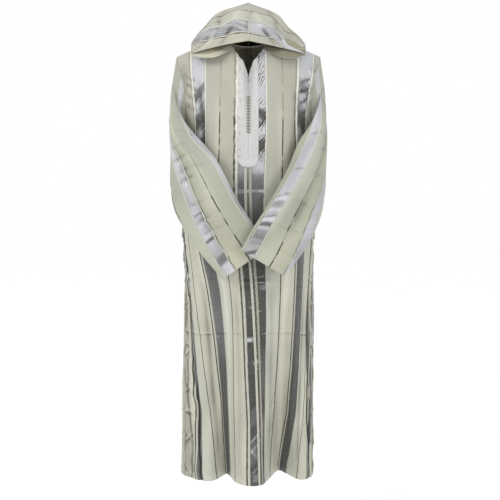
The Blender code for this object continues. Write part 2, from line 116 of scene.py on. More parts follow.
# Sleeves, at the cap, underarm, upper arm, above the elbow, elbow, forearm, wrist and cuff: the two
# folded edges of the tube, its thickness, and how far its middle bows out. The turn is how far its front
# faces outwards, and the roll how far its first point is carried round from the shoulder side to the
# outer edge, both in degrees.
# outer edge x y z, inner edge x y z, thickness, bow, turn, roll
RIGHT_SLEEVE = [
    (-0.241, 0.002, -0.105, -0.213, -0.008, -0.252, 0.085, 0.000, -15, 0),
    (-0.241, -0.033, -0.165, -0.209, -0.040, -0.258, 0.100, 0.000, -25, 0),
    (-0.230, -0.012, -0.264, -0.155, -0.135, -0.276, 0.050, 0.018, 50, 90),
    (-0.236, -0.058, -0.342, -0.104, -0.170, -0.330, 0.054, 0.012, 38, 90),
    (-0.229, -0.106, -0.486, -0.038, -0.189, -0.447, 0.044, 0.010, 23, 90),
    (-0.170, -0.162, -0.586, 0.004, -0.192, -0.513, 0.034, 0.006, 12, 90),
    (-0.125, -0.178, -0.643, 0.034, -0.192, -0.558, 0.032, 0.003, 8, 90),
    (-0.078, -0.187, -0.695, 0.059, -0.192, -0.600, 0.030, 0.000, 5, 90),
]
LEFT_SLEEVE = [
    (0.238, 0.002, -0.105, 0.213, -0.008, -0.252, 0.085, 0.000, -15, 0),
    (0.238, -0.033, -0.165, 0.209, -0.040, -0.258, 0.100, 0.000, -25, 0),
    (0.228, -0.010, -0.264, 0.164, -0.130, -0.278, 0.050, 0.018, 54, 90),
    (0.232, -0.060, -0.350, 0.131, -0.168, -0.349, 0.056, 0.012, 45, 90),
    (0.227, -0.116, -0.485, 0.057, -0.206, -0.473, 0.044, 0.010, 28, 90),
    (0.190, -0.172, -0.574, 0.018, -0.234, -0.531, 0.036, 0.006, 18, 90),
    (0.140, -0.200, -0.647, -0.003, -0.243, -0.566, 0.032, 0.003, 15, 90),
    (0.105, -0.212, -0.681, -0.023, -0.246, -0.600, 0.030, 0.000, 14, 90),
]
SLEEVE_SIDES = 2 * (len(YOKE_ROWS) - 1)
FLAT_TUBE = 0.72  # below 1 a tube's section is squarer than an ellipse

# Hood, the wearer's left half, at the face edge, brow, crown, back and centre seam behind
# share of the way back, under x y z, fold x y z, side x y z, top y z
HOOD_SECTIONS = [
    (0.00, 0.112, -0.113, -0.032, 0.176, -0.082, -0.020, 0.095, -0.106, 0.002, -0.130, 0.018),
    (0.22, 0.116, -0.052, 0.026, 0.177, -0.042, 0.006, 0.116, -0.042, 0.064, -0.060, 0.098),
    (0.48, 0.118, 0.008, 0.033, 0.174, 0.012, 0.014, 0.108, 0.030, 0.108, 0.045, 0.152),
    (0.76, 0.082, 0.080, 0.026, 0.120, 0.100, 0.020, 0.074, 0.116, 0.066, 0.125, 0.112),
    (1.00, 0.0, 0.094, 0.016, 0.0, 0.128, 0.012, 0.0, 0.154, 0.006, 0.180, -0.002),
]
HOOD_FULLNESS = {"right": 1.06, "left": 0.96}  # how far each half's side swells
HOOD_ACROSS = 14
HOOD_BACK = 10
NECK_SPLIT = 0.45  # share of the hood's neck seam that lies on the front

# Knots down the slit
BUTTON_COUNT = 13
BUTTON_TOP_Z = -0.149
BUTTON_STEP = 0.00875
KNOT_RADIUS = 0.0031
LOOP_RADIUS = 0.0009
BUTTON_HALF = 0.0065

# ---- curves


def spline(knots, values, at, period=None):
    """Smooth curve through the values at the knots, read at every number in at."""
    knots = np.asarray(knots, float)
    values = np.asarray(values, float).reshape(len(knots), -1)
    if period:
        knots = np.concatenate([knots[-2:] - period, knots, knots[:2] + period])
        values = np.concatenate([values[-2:], values, values[:2]])
    steps = np.diff(knots)[:, None]
    slopes = np.diff(values, axis=0) / steps
    middle = (slopes[:-1] * steps[1:] + slopes[1:] * steps[:-1]) / (steps[:-1] + steps[1:])
    tangents = np.vstack([slopes[:1], middle, slopes[-1:]])
    at = np.asarray(at, float)
    i = np.clip(np.searchsorted(knots, at, side="right") - 1, 0, len(knots) - 2)
    step = steps[i]
    t = (at[:, None] - knots[i, None]) / step
    return (
        values[i] * (2 * t**3 - 3 * t**2 + 1)
        + tangents[i] * step * (t**3 - 2 * t**2 + t)
        + values[i + 1] * (3 * t**2 - 2 * t**3)
        + tangents[i + 1] * step * (t**3 - t**2)
    )


def unit(v):
    return v / np.maximum(np.linalg.norm(v, axis=-1, keepdims=True), 1e-12)


def eased(t):
    return t * t * (3 - 2 * t)


def ramp(t, least=0.0):
    """Rises from 0 to 1 with t, eased at both ends. It stays level where t is below least."""
    return eased(np.clip(t, least, 1))


def bell(t, power=2):
    """1 where t is 0, falling to both sides. A higher power has a flatter top."""
    return np.exp(-(t**power))


def directions(lines, closed=False):
    """Which way each line of points runs, half way between the step before a point and the step after it."""
    after = unit(np.roll(lines, -1, 0) - lines)
    if not closed:
        after[-1] = after[-2]
    before = np.roll(after, 1, 0)
    if not closed:
        before[0] = after[0]
    return unit(after + before)


def run(points, axis=0):
    """How far along a path, or down or across a grid, each of its points is."""
    steps = np.linalg.norm(np.diff(points, axis=axis), axis=-1)
    return np.insert(np.cumsum(steps, axis), 0, 0.0, axis)


def resampled(grid, count, closed=False):
    """A grid of points read at count places down its rows."""
    rows = len(grid)
    at = np.linspace(0, rows if closed else rows - 1, count, endpoint=not closed)
    found = spline(np.arange(rows), grid.reshape(rows, -1), at, rows if closed else None)
    return found.reshape(count, *grid.shape[1:])


def finer(grid, down, across, closed=False):
    """A grid of points read at more places down and across it."""
    return resampled(resampled(grid, down).swapaxes(0, 1), across, closed).swapaxes(0, 1)


# ---- the body's outer face


def rounded_section(name, place):
    half, front, back = SECTIONS[name]
    angle = place * math.pi / 2
    depth = np.where(np.cos(angle) > 0, front, back)
    return np.stack([half * np.sin(angle), -depth * np.cos(angle)], -1)


def ring(place, z):
    """Plan position x, y of the body at each place round it, at each height from the underarm to the hem."""
    around = (np.asarray(place, float) + 1) % 4 - 1
    folded = spline([row[0] for row in FOLDS], [row[1:] for row in FOLDS], around, period=4)
    hip, hem = folded[:, :2], folded[:, 2:]
    levels = [rounded_section("chest", around), rounded_section("waist", around)]
    levels += [hip, hip + (hem - hip) * KNEE_FOLD, hem]
    depths = [-CHEST_Z, -WAIST_Z, -HIP_Z, -KNEE_Z, -HEM_Z]
    weights = spline(depths, np.eye(len(depths)), -np.asarray(z, float))
    return sum(weights[:, k : k + 1] * level for k, level in enumerate(levels))


def half_width(v):
    """From a panel's centre to its side edge. v runs from 0 to 1 down the yoke, then in metres below it."""
    v = np.asarray(v, float)
    arm = spline(*zip(*ARM_EDGE), np.clip(v, 0, 1))[:, 0]
    flare = (HEM_HALF - CHEST_HALF) / (CHEST_Z - HEM_Z)
    return np.where(v <= 1, arm, CHEST_HALF + flare * (v - 1))


def top_edge(s, back):
    """Share of the yoke at which a panel starts, for each distance s from the centre."""
    off = np.minimum(np.abs(s), NECK_HALF)
    if back:
        return BACK_NECK_DIP * np.sqrt(np.maximum(1 - (off / NECK_HALF) ** 2, 0))
    return spline(*zip(*NECK_EDGE), off)[:, 0]


def yoke(s, q, back):
    """Point of the yoke at distance s from the centre and share q of the way down to the underarm."""
    place = 2 - s / CHEST_HALF if back else s / CHEST_HALF
    chest = rounded_section("chest", place)
    over = np.clip((np.abs(s) - NECK_HALF) / (SHOULDER_HALF - NECK_HALF), 0, 1.4)
    shoulder_z = NECK_Z - SHOULDER_DROP * over**1.3
    x = s + (chest[:, 0] - s) * eased(q) ** 1.5
    seam_y = GAP / 2 if back else -GAP / 2
    y = seam_y + (chest[:, 1] - seam_y) * np.sin(math.pi / 2 * q**0.55)
    z = shoulder_z + (CHEST_Z - shoulder_z) * q**1.25
    return np.stack([x, y, z], -1)


def body(s, v, back=False):
    """Outer face of the front (or back) at distance s from its centre and v down it."""
    s, v = np.broadcast_arrays(np.asarray(s, float), np.asarray(v, float))
    shape = s.shape
    s, v = s.ravel(), v.ravel()
    start = top_edge(s, back)
    high = yoke(s, start + (1 - start) * np.clip(v, 0, 1), back)
    z = CHEST_Z - np.maximum(v - 1, 0)
    share = s / half_width(np.maximum(v, 1))
    low = np.column_stack([ring(2 - share if back else share, z), z])
    return np.where((v <= 1)[:, None], high, low).reshape(*shape, 3)


def body_normals(s, v, back=False):
    step = 0.002
    s, v = np.broadcast_arrays(np.asarray(s, float), np.asarray(v, float))
    above = np.maximum(v - step, 0)
    across = body(s + step, v, back) - body(s - step, v, back)
    down = body(s, above + 2 * step, back) - body(s, above, back)
    normal = np.cross(across, down)
    return unit(normal if back else -normal)


def centre_v(z):
    """How far down the panel the centre front reaches height z."""
    share = ((NECK_Z - z) / (NECK_Z - CHEST_Z)) ** (1 / 1.25)
    start = NECK_EDGE[0][1]
    return (share - start) / (1 - start) if z > CHEST_Z else 1 + CHEST_Z - z


# ---- sleeves


def armhole(side):
    """First ring of a sleeve and its normals: from the shoulder tip down the front and up the back.

    It follows the edge of the body a seam's gap away, and its cloth stands as the body's does there.
    """
    down = np.array(YOKE_ROWS)
    s = side * half_width(down)
    edge = np.concatenate([body(s, down), body(s, down, back=True)[-2:0:-1]])
    front, behind = body_normals(s, down), body_normals(s, down, back=True)
    normals = np.concatenate([front, behind[-2:0:-1]])
    for k in (0, len(down) - 1):
        normals[k] = unit(front[k] + behind[k])
    along = np.roll(edge, -1, 0) - np.roll(edge, 1, 0)
    away = unit(np.cross(normals, along))
    away *= np.sign((away * (edge.mean(0) - edge)).sum(1, keepdims=True))
    return edge + away * ARMHOLE_GAP, normals


def station_ring(row, side):
    """One section of a sleeve, as flat as its thickness says."""
    outer, inner = np.array(row[:3]), np.array(row[3:6])
    thickness, bow, turn, roll = row[6:]
    facing = np.array([side * math.sin(math.radians(turn)), -math.cos(math.radians(turn)), 0.0])
    edge = unit(outer - inner)
    normal = unit(facing - edge * facing.dot(edge))
    angle = np.linspace(0, 2 * math.pi, SLEEVE_SIDES, endpoint=False) + math.radians(roll)
    c, s = np.cos(angle)[:, None], np.sin(angle)[:, None]
    flat = FLAT_TUBE if roll else 1.0
    along = np.sign(c) * np.abs(c) ** flat
    out = np.sign(s) * np.abs(s) ** flat
    middle = (outer + inner) / 2 + normal * bow * s**2
    return middle + (outer - inner) / 2 * along + normal * thickness / 2 * out


def tube_normals(grid):
    around = directions(grid.swapaxes(0, 1), closed=True).swapaxes(0, 1)
    normal = unit(np.cross(around, directions(grid)))
    outward = grid - grid.mean(1, keepdims=True)
    return normal * np.sign((normal * outward).sum())


def sleeve_grid(side):
    table = RIGHT_SLEEVE if side < 0 else LEFT_SLEEVE
    start, start_normals = armhole(side)
    rings = np.array([start] + [station_ring(row, side) for row in table])
    at = run(rings.mean(1))
    steps = np.sort(np.concatenate([at, (at[2:] + at[1:-1]) / 2]))
    grid = spline(at, rings.reshape(len(rings), -1), steps).reshape(len(steps), SLEEVE_SIDES, 3)
    normals = tube_normals(grid)
    normals[0] = unit(2 * start_normals + normals[0])
    return grid, normals


# ---- hood


def neck_seam(b):
    """Outer face of the body along the hood's seam, from the front end (0) to the centre back (1)."""
    on_front = b < NECK_SPLIT
    front_s = HOOD_START + (NECK_HALF - HOOD_START) * np.clip(b / NECK_SPLIT, 0, 1)
    angle = np.clip((b - NECK_SPLIT) / (1 - NECK_SPLIT), 0, 1) * math.pi / 2
    back_s = NECK_HALF * np.cos(angle)
    front = body(front_s, 0 * b)
    back = body(back_s, 0 * b, back=True)
    return np.where(on_front[:, None], front, back)


def hood_grid(fullness):
    """Outer face of a half, on +X: rows from the neck seam to the top seam, columns from the face back."""
    b = np.linspace(0, 1, HOOD_BACK + 1)
    columns_at = spline([row[0] for row in HOOD_SECTIONS], [row[1:] for row in HOOD_SECTIONS], b)
    neck = neck_seam(b)
    neck[:, 2] += 4 * GAP
    grid = []
    for k, row in enumerate(columns_at):
        side = row[6:9] * [fullness, 1, 1]
        through = np.array([neck[k], row[0:3], row[3:6], side, [0.0, row[9], row[10]]])
        at = np.concatenate([[0], np.cumsum(np.linalg.norm(np.diff(through, axis=0), axis=1) ** 0.7)])
        grid.append(spline(at, through, np.linspace(0, at[-1], HOOD_ACROSS + 1)))
    return np.array(grid).transpose(1, 0, 2)


def grid_normals(grid):
    return unit(np.cross(directions(grid.swapaxes(0, 1)).swapaxes(0, 1), directions(grid)))


# ---- cloth: its stripes, its creases and its shell

REPEAT = 0.146  # one repeat of the stripes
SHELL = 0.0011  # how thick the cloth is drawn
HEM_TURN = 0.018  # depth of the turned hems

# Creases, in millimetres across and down the cloth. The body's are measured from the centre seam and
# the shoulders' level, a sleeve's from its inner folded edge and the armhole, the hood's from the face
# edge and the neck seam.
# start across, start down, end across, end down, half width, depth (a ridge is above 0)
FRONT_CREASES = [
    # drags across the waist and under the sleeves, and the fold mark across the skirt
    (-60, -435, -12, -432, 5, -2.2), (-58, -444, -14, -441, 4, 1.5), (12, -436, 40, -437, 4, -1.8),
    (-50, -700, 55, -702, 5, -2.4), (-46, -709, 48, -711, 4, 1.8), (-40, -728, 45, -730, 4, -2),
    (20, -716, 80, -722, 4, 1.2), (-330, -884, -120, -872, 3, 1.6), (-320, -890, -130, -878, 3, -1.8),
    (-160, -876, 90, -874, 2.8, -1.8), (-55, -884, 0, -881, 3.4, -2), (60, -872, 320, -890, 3, 1.5),
    (70, -878, 310, -896, 3, -1.8),
    # small pulls in the left valley of the skirt
    (60, -1130, 96, -1080, 3, -1.8), (66, -1150, 100, -1110, 3, 1.4), (70, -1200, 108, -1160, 3, -1.6),
    # pulls from the armholes
    (-208, -80, -170, -98, 6, -3), (-206, -108, -165, -126, 6, -3.4), (-206, -140, -166, -160, 6, -3),
    (-212, -172, -170, -192, 6, -2.6), (208, -84, 168, -104, 6, -3.2), (206, -114, 164, -134, 6, -3.4),
    (206, -148, 168, -166, 6, -2.8), (214, -182, 174, -200, 6, -2.4),
    # long soft breaks down the chest and skirt
    (-150, -110, -135, -420, 12, -3), (152, -120, 138, -400, 12, -3), (-88, -140, -95, -620, 10, 1.6),
    (94, -160, 98, -640, 10, 1.6), (-182, -520, -176, -1150, 12, 3), (-200, -700, -205, -1300, 10, -3),
    (-118, -620, -128, -1340, 12, 2.8), (-64, -760, -74, -1340, 10, -2), (60, -740, 72, -1340, 10, -2.2),
    (116, -600, 126, -1340, 12, 2.6), (184, -560, 190, -1200, 12, 2.8), (214, -740, 226, -1320, 10, -3),
    (-262, -500, -300, -1200, 10, 2.4), (268, -520, 302, -1240, 10, 2.4),
]
# Crumples down each side seam, in millimetres: level, how far they reach in, depth
SIDE_CRUMPLES = [
    (-330, 20, 1.2), (-372, 26, 1.6), (-425, 18, 1.2), (-480, 30, 1.8), (-536, 22, 1.4), (-590, 34, 2.4),
    (-622, 26, 2.2), (-668, 38, 2.8), (-702, 30, 2.2), (-745, 42, 3), (-788, 30, 2.4), (-826, 40, 3),
    (-880, 26, 2.2), (-930, 34, 2.6), (-985, 28, 2.2), (-1040, 36, 2.6), (-1100, 26, 2), (-1155, 34, 2.6),
    (-1215, 24, 2), (-1270, 30, 2.2), (-1325, 24, 1.8),
]
BACK_CREASES = [
    (-208, -80, -160, -100, 7, -2.8), (-206, -118, -158, -140, 7, -3), (-208, -158, -160, -182, 7, -2.6),
    (208, -86, 162, -108, 7, -2.8), (206, -126, 158, -148, 7, -3), (208, -166, 162, -188, 7, -2.4),
    (-90, -130, -82, -560, 14, -3), (-30, -180, -34, -700, 12, 2.2), (42, -150, 38, -620, 12, -2.6),
    (104, -160, 98, -560, 14, 2.6), (-150, -300, -160, -900, 12, 2.6), (156, -320, 166, -940, 12, -2.6),
    (-70, -440, 66, -446, 7, -2.6), (-60, -456, 60, -460, 6, 1.8), (-110, -600, 20, -612, 7, -2.4),
    (-20, -760, 120, -750, 7, -2.4), (-100, -900, 0, -896, 6, -2), (-110, -800, -126, -1340, 12, 2.8),
    (-20, -780, -24, -1340, 12, -2.8), (64, -760, 76, -1340, 12, 2.8), (180, -700, 204, -1340, 12, -2.6),
    (-230, -600, -262, -1340, 12, 2.6), (262, -560, 296, -1320, 12, 2.4),
    (-290, -500, -320, -1260, 10, -2.4),
]
RIGHT_SLEEVE_CREASES = [
    (-10, 60, 120, 100, 3.3, -1.6), (40, 90, 160, 120, 3.3, 1.2), (80, 150, 165, 172, 3.3, -2),
    (70, 165, 160, 190, 2.8, 1.3), (60, 180, 160, 205, 3.3, -1.8), (0, 200, 60, 215, 3.3, -1.3),
    (50, 252, 165, 280, 3.3, -1.4), (70, 300, 165, 320, 3.3, -1.9), (60, 316, 150, 334, 2.8, 1.4),
    (40, 340, 135, 352, 3.3, -1.6), (90, 372, 165, 388, 3.3, -2), (84, 388, 160, 402, 2.8, 1.3),
    (20, 410, 100, 424, 3.3, -1.3), (60, 452, 150, 462, 3.3, -1.6), (100, 506, 160, 522, 2.8, -1.8),
    (90, 520, 158, 536, 2.8, 1.2), (70, 548, 150, 560, 2.8, -1.6), (80, 120, 75, 500, 14, 2.6),
    (120, 200, 118, 560, 10, -2.4), (200, 140, 290, 170, 7, -2.8), (210, 260, 300, 280, 7, -2.8),
    (205, 380, 300, 400, 7, -2.6), (210, 480, 290, 500, 7, -2.4),
]
LEFT_SLEEVE_CREASES = [
    (0, 70, 100, 95, 3.3, -1.7), (50, 120, 150, 150, 3.3, -1.8), (20, 205, 110, 228, 3.3, -1.7),
    (70, 260, 160, 282, 3.3, -1.8), (10, 330, 60, 338, 3.3, -1.4), (80, 352, 162, 370, 3.3, -1.8),
    (0, 420, 70, 432, 3.3, -2), (4, 436, 66, 446, 2.8, 1.5), (70, 446, 150, 468, 3.3, -1.5),
    (0, 500, 50, 508, 3.3, -2.1), (4, 512, 48, 520, 2.8, 1.4), (60, 540, 150, 556, 2.8, -1.5),
    (60, 150, 58, 560, 12, 2.2), (110, 120, 112, 560, 12, -2.6), (200, 150, 290, 180, 7, -2.8),
    (205, 280, 300, 300, 7, -2.8), (205, 420, 300, 440, 7, -2.6),
]
HOOD_CREASES = [
    (4, 150, 60, 200, 8, -2.8), (10, 190, 80, 230, 8, 2.2), (2, 250, 70, 285, 8, -3),
    (40, 215, 120, 250, 9, -2.6), (90, 150, 150, 220, 9, -2.6), (110, 240, 180, 290, 9, -2.4),
    (60, 280, 140, 320, 9, 2.4), (20, 60, 90, 80, 8, -2.2), (120, 60, 180, 90, 8, -2.2),
]


def relief(across, down, creases):
    """Height of the creases: a soft trough or ridge along each row's line, faded at its ends."""
    height = np.zeros(np.shape(across))
    for a0, d0, a1, d1, half, depth in np.array(creases) / 1000:
        line = np.array([a1 - a0, d1 - d0])
        length = np.hypot(*line)
        u = ((across - a0) * line[0] + (down - d0) * line[1]) / length
        beside = ((across - a0) * line[1] - (down - d0) * line[0]) / length
        bend = 0.25 * half * np.sin(u / length * 7 + a0 * 90 + d0 * 40)
        past = np.maximum(np.abs(u / length - 0.5) - 0.38, 0) / 0.12
        height += depth * bell((beside - bend) / half) * bell(past)
    return height


def ripple(across, down, seed):
    """Small unevenness of cloth that hangs free."""
    waves = (
        np.sin(31 * across + 3.1 * np.sin(9 * down + seed) + seed)
        + 0.7 * np.sin(57 * across + 2.3 * np.sin(15 * down + 2 * seed) + 1.7)
        + 0.5 * np.sin(23 * down + 19 * across + 2.0 * np.sin(27 * across + seed))
    )
    return 0.0005 * waves


def side_crumples(edge, down):
    """Cross creases that run in from a side seam. edge is the distance from it."""
    height = np.zeros(np.shape(edge))
    for k, (place, reach, depth) in enumerate(np.array(SIDE_CRUMPLES) / 1000):
        slant = 1.1 * math.sin(k * 2.4)
        line = (down - place - slant * edge) / 0.0050
        crumple = -bell(line) + 0.7 * bell(line - 1.9)
        height += 1.3 * depth * crumple * bell(edge / reach / 1.4)
    return height


# The deep fold beside each side seam: level, and its distance from the seam at the wearer's right and left
SIDE_FOLDS = [
    (-1.350, 0.076, 0.048), (-1.160, 0.072, 0.064), (-1.010, 0.059, 0.061), (-0.950, 0.056, 0.067),
    (-0.860, 0.051, 0.070), (-0.800, 0.048, 0.064), (-0.700, 0.042, 0.048), (-0.460, 0.034, 0.046),
]
FOLD_START_Z = -0.46


def fold_line(s, edge, down):
    """Distance from the middle of the deep side fold, its place and sway, and how broad it is there."""
    levels, right, left = np.array(SIDE_FOLDS).T
    inward = np.where(s < 0, np.interp(down, levels, right), np.interp(down, levels, left))
    sway = 0.0036 * np.sin(down * 17 + 1.0) + 0.0016 * np.sin(down * 43 + 2.2 * np.sin(down * 19))
    broad = np.where(s > 0, bell((down + 0.86) / 0.085), 0.0)
    return edge - inward - sway, inward, sway, broad


def side_folds(s, edge, down):
    """A deep fold and a ridge that wander down beside each side seam."""
    off, inward, sway, broad = fold_line(s, edge, down)
    trough = (1 + 0.25 * broad) * bell(off / (0.0052 + 0.0050 * broad))
    ridge = bell((off + 0.015 + 0.4 * sway) / 0.0070)
    shallow = bell((edge - 0.5 * inward + 1.6 * sway) / 0.0042)
    return (0.0026 * ridge - 0.0062 * trough - 0.0030 * shallow) * ramp((FOLD_START_Z - down) / 0.1)


def fold_shade(s, edge, down):
    """Painted shade inside the deep side fold, beyond what its height gives."""
    off, _, _, broad = fold_line(s, edge, down)
    width = 0.0044 + 0.0150 * broad + 0.0014 * np.sin(down * 29) * (1 - broad)
    strength = (1.05 + 0.35 * np.sin(down * 13 + 2) + 1.2 * broad) * ramp((FOLD_START_Z - down) / 0.1)
    return strength * bell(off / width)


def hem_ridge(up, height):
    """The turned hem: a soft ridge from its edge up to where its fold is stitched down."""
    return height * (1 - ramp((up - HEM_TURN) / 0.003 + 0.5))


def mesh_object(name, points, faces, layers, materials, slots=None, sharp=40):
    mesh = bpy.data.meshes.new(name)
    mesh.from_pydata(np.asarray(points, float).tolist(), [], faces)
    for label, values in layers.items():
        store = mesh.attributes.new(label, "FLOAT", "POINT")
        store.data.foreach_set("value", np.asarray(values, np.float32).ravel())
    for material in materials:
        mesh.materials.append(material)
    if slots is not None:
        mesh.polygons.foreach_set("material_index", np.asarray(slots, np.int32))
    mesh.shade_smooth()
    if sharp:
        mesh.set_sharp_from_angle(angle=math.radians(sharp))
    mesh.validate()
    piece = bpy.data.objects.new(name, mesh)
    scene.collection.objects.link(piece)
    return piece


def quads(*corners):
    return np.stack(corners, -1).reshape(-1, 4)


def shell(name, outer, normals, layers, materials, thickness=SHELL, tube=False):
    """Thin closed cloth on a grid of points: the first material outside and on the rim, the second inside."""
    count, across = outer.shape[:2]
    inner = outer - normals * thickness
    points = np.concatenate([outer.reshape(-1, 3), inner.reshape(-1, 3)])
    number = np.arange(2 * count * across).reshape(2, count, across)
    if tube:
        number = np.concatenate([number, number[:, :, :1]], 2)
    out, ins = number
    faces = quads(out[:-1, :-1], out[:-1, 1:], out[1:, 1:], out[1:, :-1])
    inside = quads(ins[:-1, :-1], ins[1:, :-1], ins[1:, 1:], ins[:-1, 1:])
    rims = [quads(out[0, :-1], ins[0, :-1], ins[0, 1:], out[0, 1:])]
    rims.append(quads(out[-1, :-1], out[-1, 1:], ins[-1, 1:], ins[-1, :-1]))
    if not tube:
        rims.append(quads(out[:-1, 0], out[1:, 0], ins[1:, 0], ins[:-1, 0]))
        rims.append(quads(out[:-1, -1], ins[:-1, -1], ins[1:, -1], out[1:, -1]))
    every = np.concatenate([faces, inside, *rims])
    slots = np.zeros(len(every), int)
    slots[len(faces) : len(faces) + len(inside)] = 1
    first = faces[len(faces) // 2]
    facing = np.cross(points[first[1]] - points[first[0]], points[first[2]] - points[first[0]])
    if facing.dot(normals[divmod(int(first[0]), across)]) < 0:
        every = every[:, ::-1]
    both = {label: np.concatenate([np.ravel(values)] * 2) for label, values in layers.items()}
    return mesh_object(name, points, every.tolist(), both, materials, slots)


def declare(piece, node=None):
    """A piece rides on the one body, and may stand for a solid."""
    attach(piece, "root")
    if node:
        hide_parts(node)


# ---- materials

PALETTE = {
    "cream_cool": (0.462, 0.457, 0.388),
    "cream_warm": (0.475, 0.458, 0.378),
    "white": (0.650, 0.648, 0.590),
    "white_low": (0.430, 0.432, 0.385),
    # the satin's bright look and its painted dark reflection; which one shows where is painted reflection
    "satin": (0.505, 0.516, 0.540),
    "satin_painted_dark_reflection": (0.036, 0.035, 0.028),
    "pin": (0.070, 0.066, 0.048),
    "reverse": (0.470, 0.450, 0.330),
    # the hood's inside, painted darker for the shade inside the hood
    "hood_inside_painted_shade": (0.290, 0.272, 0.190),
    "hood_rim": (0.560, 0.545, 0.430),
    "braid": (0.800, 0.800, 0.790),
    "cord": (0.560, 0.545, 0.440),
    "cord_pale": (0.700, 0.685, 0.580),
    "side": (0.460, 0.455, 0.370),
    "knot": (0.330, 0.260, 0.180),
    "thread": (0.760, 0.755, 0.700),
}
WEAVE_PITCH = 0.0014  # from rib to rib of the weave
GATHER_PITCH = 0.0165  # from one small gather to the next
GATHER_LEAN = 3.4  # how many times the distance across them the small gathers run up

# One repeat of the stripes: where each stripe ends, in millimetres, and how much of it is satin, raised line
# and dark thread
STRIPE_ENDS = (0.9, 27.2, 28.3, 31.4, 83.8, 88.2, 136.0, 140.6)
SATIN, LINE, PIN, FIELD = (1, 0, 0), (0, 1, 0), (0, 0, 1), (0, 0, 0)
EDGE = (0.4, 0, 0.6)  # the thin dark line at each side of the satin
STRIPE_KINDS = (EDGE, SATIN, EDGE, LINE, FIELD, PIN, FIELD, PIN, LINE)


def dim(colour, share):
    return tuple(np.array(colour) * share)


class Wire:
    """Output of a shader node. Arithmetic with it adds Math nodes to its material."""

    def __init__(self, graph, socket):
        self.graph, self.socket = graph, socket

    def __add__(self, other):
        return self.graph.math("ADD", self, other)

    def __sub__(self, other):
        return self.graph.math("SUBTRACT", self, other)

    def __rsub__(self, other):
        return self.graph.math("SUBTRACT", other, self)

    def __mul__(self, other):
        return self.graph.math("MULTIPLY", self, other)

    def __truediv__(self, other):
        return self.graph.math("DIVIDE", self, other)


class Nodes:
    """A material's shader graph. An input of a node is a number, a colour or another node's output."""

    def __init__(self, name):
        self.material = bpy.data.materials.new(name)
        self.material.use_nodes = True
        self.tree = self.material.node_tree
        self.shader = self.tree.nodes["Principled BSDF"]

    def set(self, node, inputs):
        for key, value in inputs.items():
            socket = node.inputs[key]
            if isinstance(value, Wire):
                self.tree.links.new(value.socket, socket)
            elif isinstance(value, tuple) and len(value) == 3 and socket.type == "RGBA":
                socket.default_value = (*value, 1)
            else:
                socket.default_value = value
        return node

    def add(self, kind, inputs=None, out=0, **settings):
        node = self.tree.nodes.new("ShaderNode" + kind)
        for key, value in settings.items():
            setattr(node, key, value)
        return Wire(self, self.set(node, inputs or {}).outputs[out])

    def math(self, operation, a, b=0.0):
        return self.add("Math", {0: a, 1: b}, operation=operation)

    def wave(self, value, pitch):
        return self.math("SINE", value * (2 * math.pi / pitch))

    def mix(self, factor, a, b, blend="MIX"):
        """Blend of two colours."""
        return self.add("Mix", {0: factor, 6: a, 7: b}, out=2, data_type="RGBA", blend_type=blend)

    def shaded(self, colour, share):
        """A colour times a grey."""
        return self.mix(1.0, colour, self.add("CombineColor", {0: share, 1: share, 2: share}), "MULTIPLY")

    def value(self, name):
        return self.add("Attribute", out=2, attribute_name=name)

    def noise(self, scale, detail=3.0, vector=None, roughness=0.5):
        inputs = {"Scale": scale, "Detail": detail, "Roughness": roughness}
        inputs["Vector"] = vector or self.add("TexCoord", out=3)
        return self.add("TexNoise", inputs)

    def range(self, value, low, high, to_low=0.0, to_high=1.0):
        return self.add("MapRange", {0: value, 1: low, 2: high, 3: to_low, 4: to_high})

    def around(self, noise, reach):
        """A noise turned into a wandering by at most reach to both sides of 0."""
        return self.range(noise, 0.3, 0.7, -reach, reach)

    def steps(self, value, rows):
        """Colours by value, each from its start until the next row's."""
        ramp = self.tree.nodes.new("ShaderNodeValToRGB")
        ramp.color_ramp.interpolation = "CONSTANT"
        for k, (start, colour) in enumerate(rows):
            stop = ramp.color_ramp.elements[k] if k < 2 else ramp.color_ramp.elements.new(start)
            stop.position = start
            stop.color = (*colour, 1)
        return Wire(self, self.set(ramp, {0: value}).outputs[0])

    def bump(self, height, distance, normal=None):
        inputs = {"Height": height, "Distance": distance, "Strength": 1.0}
        if normal:
            inputs["Normal"] = normal
        return self.add("Bump", inputs)

    def finish(self, **inputs):
        self.set(self.shader, {key.replace("_", " "): value for key, value in inputs.items()})
        return self.material


